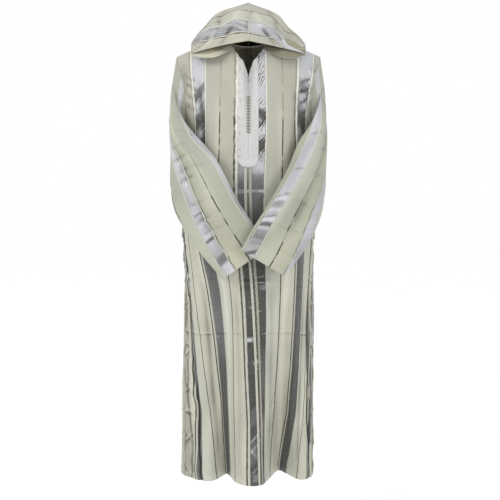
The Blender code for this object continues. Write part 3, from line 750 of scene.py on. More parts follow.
def striped_cloth(name, upper, lower, levels, pin_levels, steady):
    """Matt cream cloth with woven satin stripes, white and dark edge lines and a dark pinstripe.

    Its tint goes from upper to lower between two levels of the attribute "along", and the pinstripe
    grows stronger between two others. The attribute "tone" is painted reflection: how dark the satin
    looks. "cavity" is painted shade and highlight, from below 0 deep in a crease to 1 on a ridge, and
    "pleat" is 1 where the cloth is gathered small, with painted shade in its small gathers.
    """
    g = Nodes(name)
    along, painted_sheen_shade_and_tone, cavity, pleat = (g.value(word) for word in ("along", "painted_sheen_shade_and_tone", "cavity", "pleat"))
    bent = g.around(g.noise(55.0, 2.0), 0.012) * pleat
    place = g.value("stripe") + (g.around(g.noise(120.0), 0.0006) + bent * 0.10)
    share = g.math("FRACT", place / REPEAT)
    ends = [at / (REPEAT * 1000) for at in STRIPE_ENDS]
    masks = g.steps(share, list(zip([0.0] + ends, STRIPE_KINDS)))
    satin, line, pin = (g.add("SeparateColor", {0: masks}, out=k) for k in range(3))
    # small gathers that lean across the stripes: a bump, and painted shade that darkens them
    gather = g.math("MAXIMUM", g.wave(along + bent - place * GATHER_LEAN, GATHER_PITCH), -0.4)
    gather = gather * g.range(g.noise(38.0, 2.0), 0.42, 0.56) * pleat
    # the satin's painted reflection: bright or dark, cloudy where it is neither bright nor dull, painted
    # darker in creases and lighter on ridges, and darker in the small gathers
    thread = g.noise(1.0, 3.0, g.add("CombineXYZ", {0: place * 900.0, 1: along * 60.0}))
    clouds = g.range(g.noise(14.0, 2.0), 0.35, 0.65, -1.0, 1.0)
    dull = painted_sheen_shade_and_tone + clouds * g.math("MAXIMUM", painted_sheen_shade_and_tone * (1.0 - painted_sheen_shade_and_tone) * 1.9 - 0.30, 0.0)
    dull = dull - cavity * g.range(painted_sheen_shade_and_tone, 0.3, 0.8, 0.55, 0.06)
    dull = dull + g.around(thread, 0.05) + g.around(g.noise(520.0, 2.0), 0.11) + gather * 0.75
    gloss = g.mix(g.range(dull, 0.0, 1.0), PALETTE["satin"], PALETTE["satin_painted_dark_reflection"])
    # the cream fields, cooler and warmer in turn
    patch = g.range(g.noise(9.0), 0.35, 0.65)
    cool, warm = PALETTE["cream_cool"], PALETTE["cream_warm"]
    creams = [g.mix(patch, cream, dim(cream, 0.94)) for cream in (cool, warm)]
    base = g.mix(g.math("GREATER_THAN", share, 0.59), *creams)
    base = g.mix(g.range(thread, 0.3, 0.7, 0.0, 0.24), base, dim(warm, 0.78))
    level = g.range(along, *levels)
    base = g.mix(1.0, base, g.mix(level, upper, lower), "MULTIPLY")
    # painted shade and highlight on the cream: darker in creases and in the small gathers, lighter on ridges
    base = g.shaded(base, g.range(cavity, -2.0, 1.0, 0.52, 1.14) - gather * 0.34)
    # the pinstripe, worn into dashes
    dashes = g.noise(1.0, 2.0, g.add("CombineXYZ", {0: place * 40.0, 1: along * 26.0}))
    worn = g.range(dashes, 0.40, 0.50, 0.22, 1.0) * g.range(along, *pin_levels, 0.30, 1.0)
    worn = g.math("MAXIMUM", worn, level * steady)
    colour = g.mix(satin, base, gloss)
    colour = g.mix(line, colour, g.mix(level, PALETTE["white"], PALETTE["white_low"]))
    colour = g.mix(pin * worn, colour, PALETTE["pin"])
    # painted shade, deepest in the creases
    colour = g.shaded(colour, g.range(cavity, -2.0, -0.9, 0.42, 1.0))
    # relief: ribs of the weave, raised lines and small crumpling
    rib = g.wave(along, WEAVE_PITCH) * g.range(satin, 0.0, 1.0, 0.35, 0.06)
    fine = g.bump(rib + thread * 0.6 + line * 1.6, 0.00025)
    fine = g.bump(gather, 0.0011, fine)
    crumple = g.bump(g.noise(70.0, 4.0, roughness=0.62), g.range(satin, 0.0, 1.0, 0.0022, 0.0042), fine)
    rough = g.range(satin, 0.0, 1.0, 0.78, 0.38)
    g.finish(Base_Color=colour, Roughness=rough, Normal=crumple)
    return g.finish(Sheen_Weight=0.12, Sheen_Roughness=0.5, Specular_IOR_Level=0.32)


def reverse_cloth(name, dull, rim):
    """The inside of the cloth: the same stripes, duller. The hood's is painted darker for the shade inside
    the hood, with a paler rim along the face.
    """
    g = Nodes(name)
    dark, pale = dim(dull, 0.72), dim(dull, 1.18)
    rows = [(0.0, dark), (0.192, pale), (0.223, dull), (0.582, dark), (0.600, dull)]
    rows += [(0.720, rim), (0.758, dull), (0.938, dark), (0.956, pale)]
    thread = g.noise(420.0)
    colour = g.steps(g.math("FRACT", g.value("stripe") / REPEAT), rows)
    colour = g.mix(g.range(thread, 0.35, 0.65, 0.0, 0.5), colour, dark)
    fine = g.bump(g.wave(g.value("along"), WEAVE_PITCH) * 0.3 + thread, 0.00025)
    crumple = g.bump(g.noise(70.0), 0.002, fine)
    return g.finish(Base_Color=colour, Roughness=0.85, Normal=crumple, Sheen_Weight=0.1)


def thread_work(name, colour, pitch, rough=0.6, sheen=0.2, dark=0.62):
    """Braid, cord or knot: twisted silky thread."""
    g = Nodes(name)
    twist = g.wave(g.value("along"), pitch)
    fibre = g.noise(1500.0, 2.0)
    # painted shade in the grooves of the twist
    shade = g.mix(g.range(twist + fibre * 0.8, -0.8, 0.7, 0.85, 0.0), colour, dim(colour, dark))
    shade = g.mix(g.range(g.noise(90.0), 0.35, 0.65, 0.0, 0.35), shade, dim(colour, 0.82))
    # painted shade where the trim's relief says, between its strands, with the trim's own dark marks
    shade = g.mix(g.range(g.value("painted_sheen_shade_and_tone"), 0.0, 1.0, 0.0, 0.75), shade, dim(colour, 0.42))
    normal = g.bump(twist + fibre * 0.7, 0.0003)
    g.finish(Base_Color=shade, Roughness=rough, Normal=normal)
    return g.finish(Sheen_Weight=sheen, Specular_IOR_Level=0.4)


# ---- the panels

PITCH = 0.0043  # from row to row of the drawn cloth below the yoke
YOKE_LINES = 54
FRONT_COLUMNS = 88
BACK_COLUMNS = 125
START = 5 * REPEAT  # keeps every place in the repeats above 0
BACK_GRAIN = 0.014  # where the back's repeat starts

# Where the stripes of the front halves fall, in millimetres: their places in the repeat, run on
# outwards, then their distances from the centre at several levels. The cloth is drawn in unevenly, so
# they aren't straight.
FRONT_STRIPES = {
    "front_right": {
        "places": (27, 0, -9, -60, -118, -146, -206, -264, -292),
        -0.19: (0, 29, 42, 83, 134, 176, 232, 290, 318),
        -0.80: (0, 30, 44, 90, 143, 178, 234, 262, 268),
        -1.00: (0, 33, 45, 91, 138, 176, 234, 267, 277),
        -1.15: (0, 32, 43, 96, 134, 172, 226, 262, 277),
        -1.33: (0, 37, 50, 97, 140, 166, 222, 278, 297),
    },
    "front_left": {
        "places": (1, 28, 86, 137, 146, 174, 232, 283, 320),
        -0.19: (0, 51, 103, 146, 158, 200, 262, 300, 330),
        -0.80: (0, 36, 92, 154, 163, 202, 250, 276, 296),
        -1.00: (0, 34, 98, 160, 169, 209, 256, 280, 300),
        -1.15: (0, 26, 94, 157, 165, 206, 254, 284, 304),
        -1.33: (0, 24, 76, 132, 142, 172, 230, 286, 310),
    },
}

# Painted reflection: where the front's satin is brighter or darker than around, in millimetres: distance from
# the centre, level, half width and half height, then how steeply it leans, and the change of the satin's
# painted darkness
FRONT_PAINTED_REFLECTIONS = [
    (42, -200, 30, 16, -0.4, 0.62), (40, -224, 30, 7, 1.2, 0.55), (38, -250, 30, 12, 0.2, -0.40),
    (38, -294, 30, 18, 0.3, 0.72), (34, -330, 12, 12, -0.8, 0.40), (40, -350, 30, 28, 0.0, -0.45),
    (10, -433, 60, 5, 0.0, -0.60), (-165, -142, 60, 14, 0.9, 0.55), (-165, -178, 60, 6, 1.1, -0.45),
    (-165, -222, 60, 26, 0.6, 0.45), (-165, -270, 60, 5, 1.0, -0.50), (-165, -300, 60, 18, 0.8, 0.45),
    (180, -120, 60, 16, -0.9, 0.50), (180, -165, 60, 7, -1.1, -0.35), (180, -220, 60, 30, -0.8, 0.45),
    (30, -728, 16, 5, 0.0, -0.60), (-26, -890, 14, 7, 0.1, -0.95), (-4, -962, 6, 6, 0.5, -0.80),
    (-12, -1130, 20, 30, 0.8, -0.14), (-12, -1196, 24, 5, 1.2, -0.34), (-10, -1226, 24, 5, 1.2, -0.30),
    (-12, -1245, 22, 40, 0.6, -0.14), (-14, -1264, 24, 5, -1.1, -0.30), (-10, -1300, 24, 5, 1.1, -0.30),
    (-16, -1334, 12, 12, 0.4, -0.34), (20, -1000, 16, 80, 0.0, -0.12), (20, -1180, 16, 50, 0.0, -0.14),
]


def front_stripe(name, s, z):
    """Place in the repeat of each point of a front half."""
    table = dict(FRONT_STRIPES[name])
    places = np.array(table.pop("places"), float)
    levels = sorted(table)
    columns = np.array([table[level] for level in levels], float).T
    found = np.empty(s.shape)
    for k, level in enumerate(z.mean(1)):
        at = np.array([np.interp(level, levels, column) for column in columns])
        d = np.abs(s[k]) * 1000
        drawn = 1.9 * math.sin(level * 31 + 2.4 * math.sin(level * 23)) * ramp((-0.40 - level) / 0.1)
        d = d + drawn * ramp((d - 215) / 35)
        beyond = np.maximum(d - at[-1], 0) * np.sign(places[-1] - places[0])
        found[k] = np.interp(d, at, places) + beyond
    return found / 1000 + START


def panel_grid(across):
    """Distance from the centre and way down of a panel's points, and its half width at each row.

    The function across gives the distances in a row from its half width.
    """
    below = 1 + CHEST_Z - HEM_Z
    v = np.concatenate([np.linspace(0, 1, YOKE_LINES), np.arange(1 + PITCH, below, PITCH), [below]])
    reach = half_width(v)[:, None]
    s = across(reach)
    return s, np.broadcast_to(v[:, None], s.shape), reach


def front_pleats(s, v, z):
    """Where a front is gathered small: beside the placket, from the armhole and along the side seam."""
    d = np.abs(s)
    edge = half_width(v) - d
    beside = np.where(s < 0, bell((d - 0.036) / 0.008, 4), bell((d - 0.034) / 0.016, 4))
    beside = beside * ramp((z + 0.36) / 0.05)
    smooth = 1 - 0.8 * bell((z + 0.145) / 0.016) * (s > 0)
    armhole = 1.7 * bell(edge / 0.030) * bell((z + 0.115) / 0.075, 4)
    seam = 0.90 * bell(edge / 0.036) * ramp((-0.40 - z) / 0.1)
    middle = 0.35 * bell(d / 0.020) * ramp((-0.62 - z) / 0.05)
    return beside * smooth + armhole + seam + middle


def calm(s, v):
    """Less relief at the seams, where pieces meet."""
    edge = half_width(v) - np.abs(s)
    return np.where(v <= 1.02, ramp(edge / 0.02), ramp(edge / 0.012, 0.25)) * ramp(v / 0.06)


def creased(points, normals, height):
    return points + normals * height[..., None], normals, height


def hanging(s, z, creases, seed):
    """Creases and unevenness of a panel, with its turned hem."""
    return relief(s, z, creases) + ripple(s, z, seed) * ramp((0.1 - z) / 0.4) + hem_ridge(z - HEM_Z, 0.0009)


def front_surface(s, v):
    """Outer face of the creased front, its normals and height, at distance s from the centre and v down."""
    points, normals = body(s, v), body_normals(s, v)
    z = points[..., 2]
    edge = half_width(v) - np.abs(s)
    height = hanging(s, z, FRONT_CREASES, 1.0) + side_folds(s, edge, z)
    height += side_crumples(edge, z + 0.004 * np.sign(s)) * ramp((v - 0.98) / 0.06)
    return creased(points, normals, height * calm(s, v) * ramp(np.abs(s) / 0.012, 0.25))


def back_surface(s, v):
    points, normals = body(s, v, True), body_normals(s, v, True)
    z = points[..., 2]
    edge = half_width(v) - np.abs(s)
    height = hanging(s, z, BACK_CREASES, 4.0) + side_crumples(edge, z + 0.007) * np.where(v > 1, 0.8, 0.0)
    return creased(points, normals, height * calm(s, v))


def painted_reflection_patches(across, down, rows):
    change = np.zeros(np.shape(across))
    for *place, lean, much in rows:
        s, z, wide, tall = np.array(place) / 1000
        change += much * bell((across - s) / wide, 6) * bell((down - z - lean * (across - s)) / tall, 6)
    return change


def painted_satin_reflection(s, z):
    """Painted reflection: how dark the satin looks, bright over the shoulders, dull down the skirt, mixed in
    between.
    """
    painted_sheen_shade_and_tone = 0.14 + 0.34 * ramp((-0.13 - z) / 0.10) + 0.37 * ramp((-0.34 - z) / 0.08)
    inner = 0.15 * ramp((s + 0.08) / 0.06) - 0.07 * ramp((s - 0.09) / 0.04)
    return painted_sheen_shade_and_tone + inner * ramp((-0.60 - z) / 0.1)


def painted_relief_shading_of(height):
    """Painted shade and highlight from the height of the creases: from -2 deep in a crease to 1 on a ridge.
    """
    return np.clip(height / 0.0026, -2, 1)


def declare_cloth(piece, node, grid):
    """Cloth in place of a soft solid. Its cut isn't a rectangle."""
    declare(piece, node)
    across, down = grid[1:, 1:] - grid[:-1, :-1], grid[1:, :-1] - grid[:-1, 1:]


def make_front(side, word):
    share = np.linspace(0, 1, FRONT_COLUMNS)[None]
    s, v, reach = panel_grid(lambda reach: side * (GAP / 2 + (reach - GAP) * share))
    points, normals, height = front_surface(s, v)
    z = points[..., 2]
    edge = reach - np.abs(s)
    # painted light: the satin's darkness is painted reflection, and the cloth is painted darker in creases,
    # lighter on ridges, darker still in the crumpled zone along the side seam and inside the deep side fold
    gathered = bell(edge / 0.055, 4) * ramp((-0.50 - z) / 0.2)
    layers = {
        "stripe": front_stripe(f"front_{word}", s, z),
        "along": z,
        "painted_sheen_shade_and_tone": np.clip(painted_satin_reflection(s, z) + painted_reflection_patches(s, z, FRONT_PAINTED_REFLECTIONS), 0.02, 0.98),
        "cavity": painted_relief_shading_of(height) - 0.95 * gathered - fold_shade(s, edge, z),
        "pleat": front_pleats(s, v, z),
    }
    piece = shell(f"cloth_front_{word}", points, normals, layers, CLOTH)
    declare_cloth(piece, f"front_{word}", points)


def make_back():
    s, v, _ = panel_grid(lambda reach: (reach - GAP / 2) * np.linspace(-1, 1, BACK_COLUMNS)[None])
    points, normals, height = back_surface(s, v)
    z = points[..., 2]
    # the satin's painted reflection, a little brighter than the front's, and painted shade and highlight from
    # the creases
    layers = {"stripe": s + BACK_GRAIN + START, "along": z, "painted_sheen_shade_and_tone": painted_satin_reflection(s, z) - 0.1}
    layers["cavity"] = painted_relief_shading_of(0.6 * height)
    piece = shell("cloth_back", points, normals, layers, CLOTH)
    declare_cloth(piece, "back", points)


# Sleeves

SLEEVE_ROWS = 134
SLEEVE_AROUND = 84
SLEEVE_GRAIN = {-1: 0.020, 1: -0.014}  # where the repeat starts on the right and left sleeve
UNDERSIDE = 0.17  # where the creases of a sleeve's underside are counted from
# distance over the repeat, place in the repeat, in millimetres
SLEEVE_STRIPES = [(0, 1), (31, 27), (36, 31), (90, 86), (141.5, 135.5), (142.5, 141), (146, 147)]
# Painted reflection: brighter and darker satin as on the front, but across and down the sleeve
SLEEVE_PAINTED_REFLECTIONS = {
    -1: [
        (110, 350, 60, 3, 0.2, 0.35), (110, 490, 60, 3, 0.2, 0.35), (110, 572, 60, 5, 0.3, 0.60),
        (110, 530, 60, 30, 0.0, 0.12), (110, 640, 60, 14, 0.3, 0.45),
    ],
    1: [
        (60, 468, 60, 13, 0.3, 0.30), (60, 505, 60, 10, 0.3, 0.12), (60, 548, 60, 9, 0.3, 0.62),
        (60, 590, 60, 22, 0.3, 0.32), (60, 645, 60, 8, -0.4, 0.50),
    ],
}


def make_sleeve(side, word):
    points, normals = (finer(grid, SLEEVE_ROWS, SLEEVE_AROUND, closed=True) for grid in sleeve_grid(side))
    normals = unit(normals)
    down = run(points)
    down = down * 0.4 + down.mean(1, keepdims=True) * 0.6
    ring_steps = np.linalg.norm(np.roll(points, -1, 1) - points, axis=2)
    around = np.concatenate([np.zeros((SLEEVE_ROWS, 1)), np.cumsum(ring_steps, 1)[:, :-1]], 1)
    # from the inner folded edge over the outer face is counted above 0, and under the arm below 0
    inner = SLEEVE_AROUND // 4
    across = around[:, inner : inner + 1] - around
    girth = ring_steps.sum(1, keepdims=True)
    across = np.where(across < -girth / 2, across + girth, across)
    under = np.where(across < 0, UNDERSIDE - across, across)
    height = relief(under, down, RIGHT_SLEEVE_CREASES if side < 0 else LEFT_SLEEVE_CREASES)
    height += ripple(across, down, 7.0 + side) + hem_ridge(down[-1].mean() - down, 0.0008)
    height *= ramp(down / 0.04)
    points, _, _ = creased(points, normals, height)
    turn, place = np.divmod((across + SLEEVE_GRAIN[side]) * 1000, REPEAT * 1000)
    # painted reflection: the satin darker down the sleeve and in bands, then brighter and darker patches
    painted_sheen_shade_and_tone = 0.20 + 0.10 * ramp((down - 0.42) / 0.12) + 0.06 * np.sin(down * 31)
    layers = {
        "stripe": np.interp(place, *np.array(SLEEVE_STRIPES).T) / 1000 + turn * REPEAT + START,
        "along": down,
        "painted_sheen_shade_and_tone": np.clip(painted_sheen_shade_and_tone + painted_reflection_patches(across, down, SLEEVE_PAINTED_REFLECTIONS[side]), 0.02, 0.98),
        "cavity": painted_relief_shading_of(height),
    }
    piece = shell(f"cloth_sleeve_{word}", points, normals, layers, SLEEVE_CLOTH, tube=True)
    declare_cloth(piece, f"sleeve_{word}", np.concatenate([points, points[:, :1]], 1))


# Hood

HOOD_ROWS = 70
HOOD_COLUMNS = 74
UPWARD = (52, 37)  # a point of the hood's drawn mesh whose outside faces up
# distance from the face edge, place in the repeat, in millimetres
HOOD_STRIPES = [(0, -40), (30, -9), (36, 0), (78, 27), (90, 33), (138, 86), (190, 137), (260, 200)]
# Of the wearer's right and left half: how far its stripes are drawn askew, how dark the satin's painted
# reflection is at the face, and how much that changes near the top
HOOD_LOOKS = {-1: (-0.35, 0.38, 0.30), 1: (1.0, 0.20, -0.10)}


def make_hood_half(side, word):
    """One half of the hood. Gives back the points and normals along its middle seam."""
    fine = finer(hood_grid(HOOD_FULLNESS[word]), HOOD_ROWS, HOOD_COLUMNS)
    normals = grid_normals(fine)
    if normals[UPWARD][2] < 0:
        normals = -normals
    tip = np.zeros(3)
    for seam in (np.s_[-1, :], np.s_[:, -1]):
        level = unit(np.cross([1.0, 0.0, 0.0], directions(fine[seam])))
        normals[seam] = level * np.sign((level * normals[seam]).sum())
        tip += normals[seam][-1]
    normals[-1, -1] = unit(tip)
    from_face, from_neck = run(fine, 1), run(fine)
    top = from_neck[-1:] - from_neck
    behind = from_face[:, -1:] - from_face
    quiet = ramp(from_face / 0.01, 0.3) * ramp(from_neck / 0.02) * ramp(np.minimum(top, behind) / 0.012)
    height = relief(from_face, from_neck, HOOD_CREASES) + ripple(from_face, from_neck, 3.0 + side)
    # the right half stands fuller near the top, and both have sunk at the side, the left one more
    sunk = bell((top - 0.135) / 0.048)
    fullness = 0.011 * bell((top - 0.040) / 0.034) - 0.008 * sunk if side < 0 else -0.015 * sunk
    fullness = fullness * bell((from_face - 0.09) / 0.08, 4) * ramp((from_neck - 0.03) / 0.07)
    fine, _, _ = creased(fine, normals, (height + fullness) * quiet)
    askew, painted_sheen_shade_and_tone, mixed = HOOD_LOOKS[side]
    drawn = np.clip((top - 0.080) * 0.8, 0, 0.040) * askew
    # painted reflection: the satin darker away from the face and mixed near the top; the creases get painted
    # shade and highlight
    painted_sheen_shade_and_tone = painted_sheen_shade_and_tone + 0.30 * ramp((from_face - 0.07) / 0.13)
    painted_sheen_shade_and_tone = painted_sheen_shade_and_tone + mixed * bell(top / 0.085) * np.sin(from_face * 130 + from_neck * 60) ** 2
    layers = {
        "stripe": np.interp((from_face + drawn) * 1000, *np.array(HOOD_STRIPES).T) / 1000 + START,
        "along": -0.20 - from_neck,
        "painted_sheen_shade_and_tone": np.clip(painted_sheen_shade_and_tone, 0.04, 0.95),
        "pleat": 0.45 * bell((from_face - 0.060) / 0.035),
        "cavity": painted_relief_shading_of(height * quiet),
    }
    flip = np.array([side, 1, 1])
    points = fine * flip + [side * GAP / 2, 0, 0]
    piece = shell(f"cloth_hood_{word}", points, normals * flip, layers, HOOD_CLOTH)
    declare_cloth(piece, f"hood_{word}", points)
    return [np.concatenate([kind[-1, :-1], kind[::-1, -1]]) for kind in (fine, normals)]


def make_hood_seam(path, normals):
    """The stitched edge along the hood's middle, from its face over the tip and down behind."""
    share = np.linspace(-1, 1, 7)[None]
    down = run(path)[:, None] + 0 * share
    middle = np.array([0.0, 1.0, 1.0])
    level = unit(normals * middle)[:, None]
    thickness = 0.0006 + 0.0005 * (1 - share**2) + 0.0002 * np.sin(down * 1300)
    top = path[:, None] * middle + level * (0.0004 + thickness)[..., None]
    top[..., 0] += 0.0015 * share
    # painted shade: darker towards both edges of the seam's ridge
    layers = {"along": down, "painted_sheen_shade_and_tone": 0.35 * np.abs(share) + 0 * down}
    material = thread_work("hood_seam_thread", PALETTE["cord"], 0.0040, 0.7)
    out = np.broadcast_to(level, top.shape)
    declare(shell("seam_hood", top, out, layers, [material, material], thickness[..., None]))


BRIGHT = (0.96, 0.96, 0.96), (1.05, 1.07, 1.07)  # tint above and below
GREENISH = (0.82, 0.86, 0.86), (0.89, 0.925, 0.875)
CLOTH = [
    striped_cloth("cloth_satin_stripe", *BRIGHT, (-0.25, -0.60), (-0.14, -0.22), 0.92),
    reverse_cloth("cloth_reverse", PALETTE["reverse"], PALETTE["reverse"]),
]
# the hood's inside: a copy of the reverse with painted shade
HOOD_CLOTH = [CLOTH[0], reverse_cloth("hood_reverse_painted_shade", PALETTE["hood_inside_painted_shade"], PALETTE["hood_rim"])]
SLEEVE_CLOTH = [striped_cloth("cloth_sleeve_stripe", *GREENISH, (0.0, 0.6), (0.30, 0.48), 0.0), CLOTH[1]]
for half, word in ((-1, "right"), (1, "left")):
    make_front(half, word)
    make_sleeve(half, word)
    hood_seam = make_hood_half(half, word)
make_hood_seam(*hood_seam)
make_back()

# ---- braids, cords and knots

END_ROWS = 32  # of the drawn round end of the facing
END_COLUMNS = 84


def lay_trim(name, s, v, share, relief_of, material, node, slot):
    """A closed strip on the creased cloth, a gap above it, with its relief on top."""
    points, normals, _ = front_surface(s, v)
    down = run(points).mean(1, keepdims=True) + 0 * s
    height, dark = relief_of(s, down, share)
    rim = np.minimum(share, 1 - share) * np.abs(s[:, -1:] - s[:, :1])
    thickness = BRAID * ramp(rim / 0.0012, 0.3) + np.maximum(height, -0.0006)
    thickness = thickness[..., None]
    top = points + normals * (GAP + thickness)
    # the relief's darkness: painted shade in its hollows, with the trim's own dark marks
    layers = {"along": down, "painted_sheen_shade_and_tone": dark}
    piece = shell(name, top, normals, layers, [material, material], thickness)
    declare(piece, node)


def trim_on_front(name, side, levels, reach, pitch, *looks):
    """A flat trim on a front half, drawn on the creased cloth, between two levels of its centre."""
    rows = int((levels[0] - levels[1]) / pitch[1]) + 2
    v = np.array([centre_v(z) for z in np.linspace(*levels, rows)])
    near, far = (edge[:, None] for edge in reach(v))
    share = np.linspace(0, 1, int((far - near).mean() / pitch[0]) + 2)[None]
    d = near + (far - near) * share
    lay_trim(name, side * d, v[:, None] + 0 * d, share + 0 * d, *looks)


def plaits(across, down, pitch, width):
    """Height of plaited strands that run down a braid, each width wide, and painted shade between them and
    where they dip under.
    """
    lane = across / width
    inside = np.abs(lane - np.round(lane)) * 2
    crown = np.sqrt(np.maximum(1 - inside**2, 0))
    weave = np.sin(2 * math.pi * (down / pitch + 0.5 * inside + 0.5 * (np.round(lane) % 2)))
    height = 0.00045 * crown + 0.00016 * weave * crown
    return height, np.clip(0.75 - crown, 0, 1) + 0.25 * np.clip(-weave, 0, 1)


def front_braid(s, down, share):
    """Fine braided rows, beaded low down, with a dark dashed seam and puckers near the outer edge."""
    d = np.abs(s)
    height, dark = plaits(d - 0.0005, down, 0.0026, 0.0027)
    rows = bell((d - 0.0105) / 0.0005) + bell((d - 0.0185) / 0.0005)
    beads = np.sin(s * 1380 + 2 * np.sin(down * 300)) * np.sin(down * 1250 + np.round(d / 0.0045) * 2)
    beads = ramp((down - 0.13) / 0.05) * np.clip(beads, 0, 1) ** 2
    mottle = 0.5 + 0.5 * np.sin(down * 410 + 3 * np.sin(s * 520)) * np.sin(down * 173 + s * 900)
    # painted shade between the plaits and in the sunk rows; darker too on the beads, in a mottle and on the
    # sunk dashed seam
    dark = 0.30 * dark + 0.35 * rows + 0.75 * beads + 0.22 * mottle
    dash = np.clip(1.6 * np.sin(down * 205 + 2.2 * np.sin(down * 67)), 0, 1)
    seam = bell((d - 0.0240 - 0.0008 * np.sin(down * 88)) / 0.0011) * dash * np.where(s < 0, 1.0, 0.35)
    pucker = 0.0006 * np.sin(down * 92 + 3 * np.sin(down * 31)) * ramp(share * 1.4 - 0.4)
    return height - 0.0004 * rows - 0.0005 * seam + pucker, np.clip(dark + 1.3 * seam, 0, 1.3)


def end_braid(s, down, share):
    height, dark = plaits(np.abs(s), down, 0.0030, 0.0040)
    # painted shade between the plaits
    return height, dark * 0.8


def centre_cord(s, down, share):
    """Two pale strands, knotted here and there."""
    strands = np.abs(np.sin(share * math.pi * 2))
    twist = np.sin(2 * math.pi * (down / 0.0034 + share * 1.5))
    knots = np.sin(down * 61 + 2 * np.sin(down * 23)) ** 8
    height = 0.0009 * np.sqrt(strands) + 0.0002 * twist + 0.0009 * knots
    # painted shade between the two strands and where the twist dips
    return height, np.clip(0.9 - 1.3 * strands, 0, 1) + 0.2 * np.clip(-twist, 0, 1)


def centre_beads(s, down, share):
    """The other edge of the centre seam: painted dark for the shadow in the gap between the fronts, with pale
    knots of thread close together and painted shade between its strands.
    """
    knots = np.sin(down * 560 + 1.5 * np.sin(down * 90)) ** 2
    strands = np.abs(np.sin(share * math.pi * 2))
    dark = 0.25 + 0.55 * ramp((down - 0.28) / 0.05) * (1 - knots) + 0.4 * (1 - strands)
    return 0.0007 * knots + 0.0003 * strands, np.clip(dark, 0, 1.25)


def side_braid(s, down, share):
    strands = np.abs(np.sin(share * math.pi * 3))
    twist = np.sin(2 * math.pi * (down / 0.0042 + share))
    pucker = 0.0018 * np.sin(down * 47 + 2.4 * np.sin(down * 17))
    # painted shade between the strands
    return 0.0008 * strands + 0.0002 * twist + pucker, np.clip(0.9 - 1.4 * strands, 0, 1)


def straight(near, far):
    return lambda v: (np.full(len(v), near), np.full(len(v), far))


def wavy_side(v):
    """The side braid wanders as its seam draws it in."""
    sway = 0.0016 * np.sin(v * 41) + 0.0012 * np.sin(v * 93 + 2)
    return half_width(v) - SIDE_BRAID + sway, half_width(v) - SIDE_BRAID_EDGE + 0.5 * sway


def make_trims():
    braid = thread_work("front_braid", PALETTE["braid"], 0.0016, 0.55, 0.3)
    cord = thread_work("centre_cord", PALETTE["cord"], 0.0015, 0.6, 0.25)
    pale_cord = thread_work("centre_cord_pale", PALETTE["cord_pale"], 0.0015, 0.6, 0.25)
    side_thread = thread_work("side_braid_thread", PALETTE["side"], 0.0015, 0.6, 0.25)
    slit_top = NECK_Z + (CHEST_Z - NECK_Z) * NECK_EDGE[0][1] ** 1.25
    to_braid_end, to_hem = (slit_top, PLACKET_WIDE_Z), (PLACKET_END_Z, HEM_Z)
    facing, seam = straight(GAP / 2, BAND_OUTER), straight(BAND_INNER, CORD_OUTER)
    seam_looks = {"right": (centre_cord, pale_cord), "left": (centre_beads, cord)}
    for side, word in ((-1, "right"), (1, "left")):
        trim_on_front(f"braid_placket_{word}", side, to_braid_end, facing, (0.0007, 0.0011),
                      front_braid, braid, f"placket_{word}", "sfifa")
        trim_on_front(f"cord_centre_{word}", side, to_hem, seam, (0.0008, 0.0016),
                      *seam_looks[word], f"centre_trim_{word}", "cord")
        trim_on_front(f"braid_side_{word}", side, (CHEST_Z, HEM_Z), wavy_side, (0.0012, 0.0022),
                      side_braid, side_thread, f"side_trim_{word}", "side_braid")
    # the rounded end of the facing
    turns = np.linspace(0, math.pi / 2, END_ROWS)[:-1, None]
    depth = PLACKET_WIDE_Z - PLACKET_END_Z - 2 * GAP
    v = 1 + CHEST_Z - PLACKET_WIDE_Z + GAP + depth * np.sin(turns)
    share = np.linspace(0, 1, END_COLUMNS)[None]
    s = BAND_OUTER * np.cos(turns) * (2 * share - 1)
    lay_trim("braid_end", s, v + 0 * s, share + 0 * s, end_braid, braid, "placket_end", "sfifa")


def cord_mesh(path, radius, sides=5, twist_pitch=None, closed=False):
    """Points, faces and layers of a round cord along a path, with strands twisted about it."""
    along = directions(path, closed)
    side_a = unit(np.cross(along, [0.31, 0.17, 0.94]))
    side_b = np.cross(along, side_a)
    length = run(path)
    angle = np.linspace(0, 2 * math.pi, sides, endpoint=False)[None]
    radii = np.full((len(path), sides), radius)
    if twist_pitch:
        radii *= 1 + 0.16 * np.cos(2 * angle - 2 * math.pi * length[:, None] / twist_pitch)
    across, up = (radii * turn(angle) for turn in (np.cos, np.sin))
    rings = path[:, None] + across[..., None] * side_a[:, None] + up[..., None] * side_b[:, None]
    number = np.arange(len(path) * sides).reshape(len(path), sides)
    number = np.hstack([number, number[:, :1]])
    ends = [] if closed else [number[0, :-1][::-1].tolist(), number[-1, :-1].tolist()]
    if closed:
        number = np.vstack([number, number[:1]])
    faces = quads(number[:-1, :-1], number[:-1, 1:], number[1:, 1:], number[1:, :-1]).tolist() + ends
    return rings.reshape(-1, 3), faces, np.repeat(length, sides)


def join_cords(name, cords, material, node=None):
    """One object from several cords."""
    faces, start = [], 0
    for points, polygons, _ in cords:
        faces += [[k + start for k in polygon] for polygon in polygons]
        start += len(points)
    along = np.concatenate([lengths for _, _, lengths in cords])
    points = np.concatenate([points for points, _, _ in cords])
    piece = mesh_object(name, points, faces, {"along": along, "painted_sheen_shade_and_tone": 0 * along}, [material], sharp=60)
    declare(piece, node)


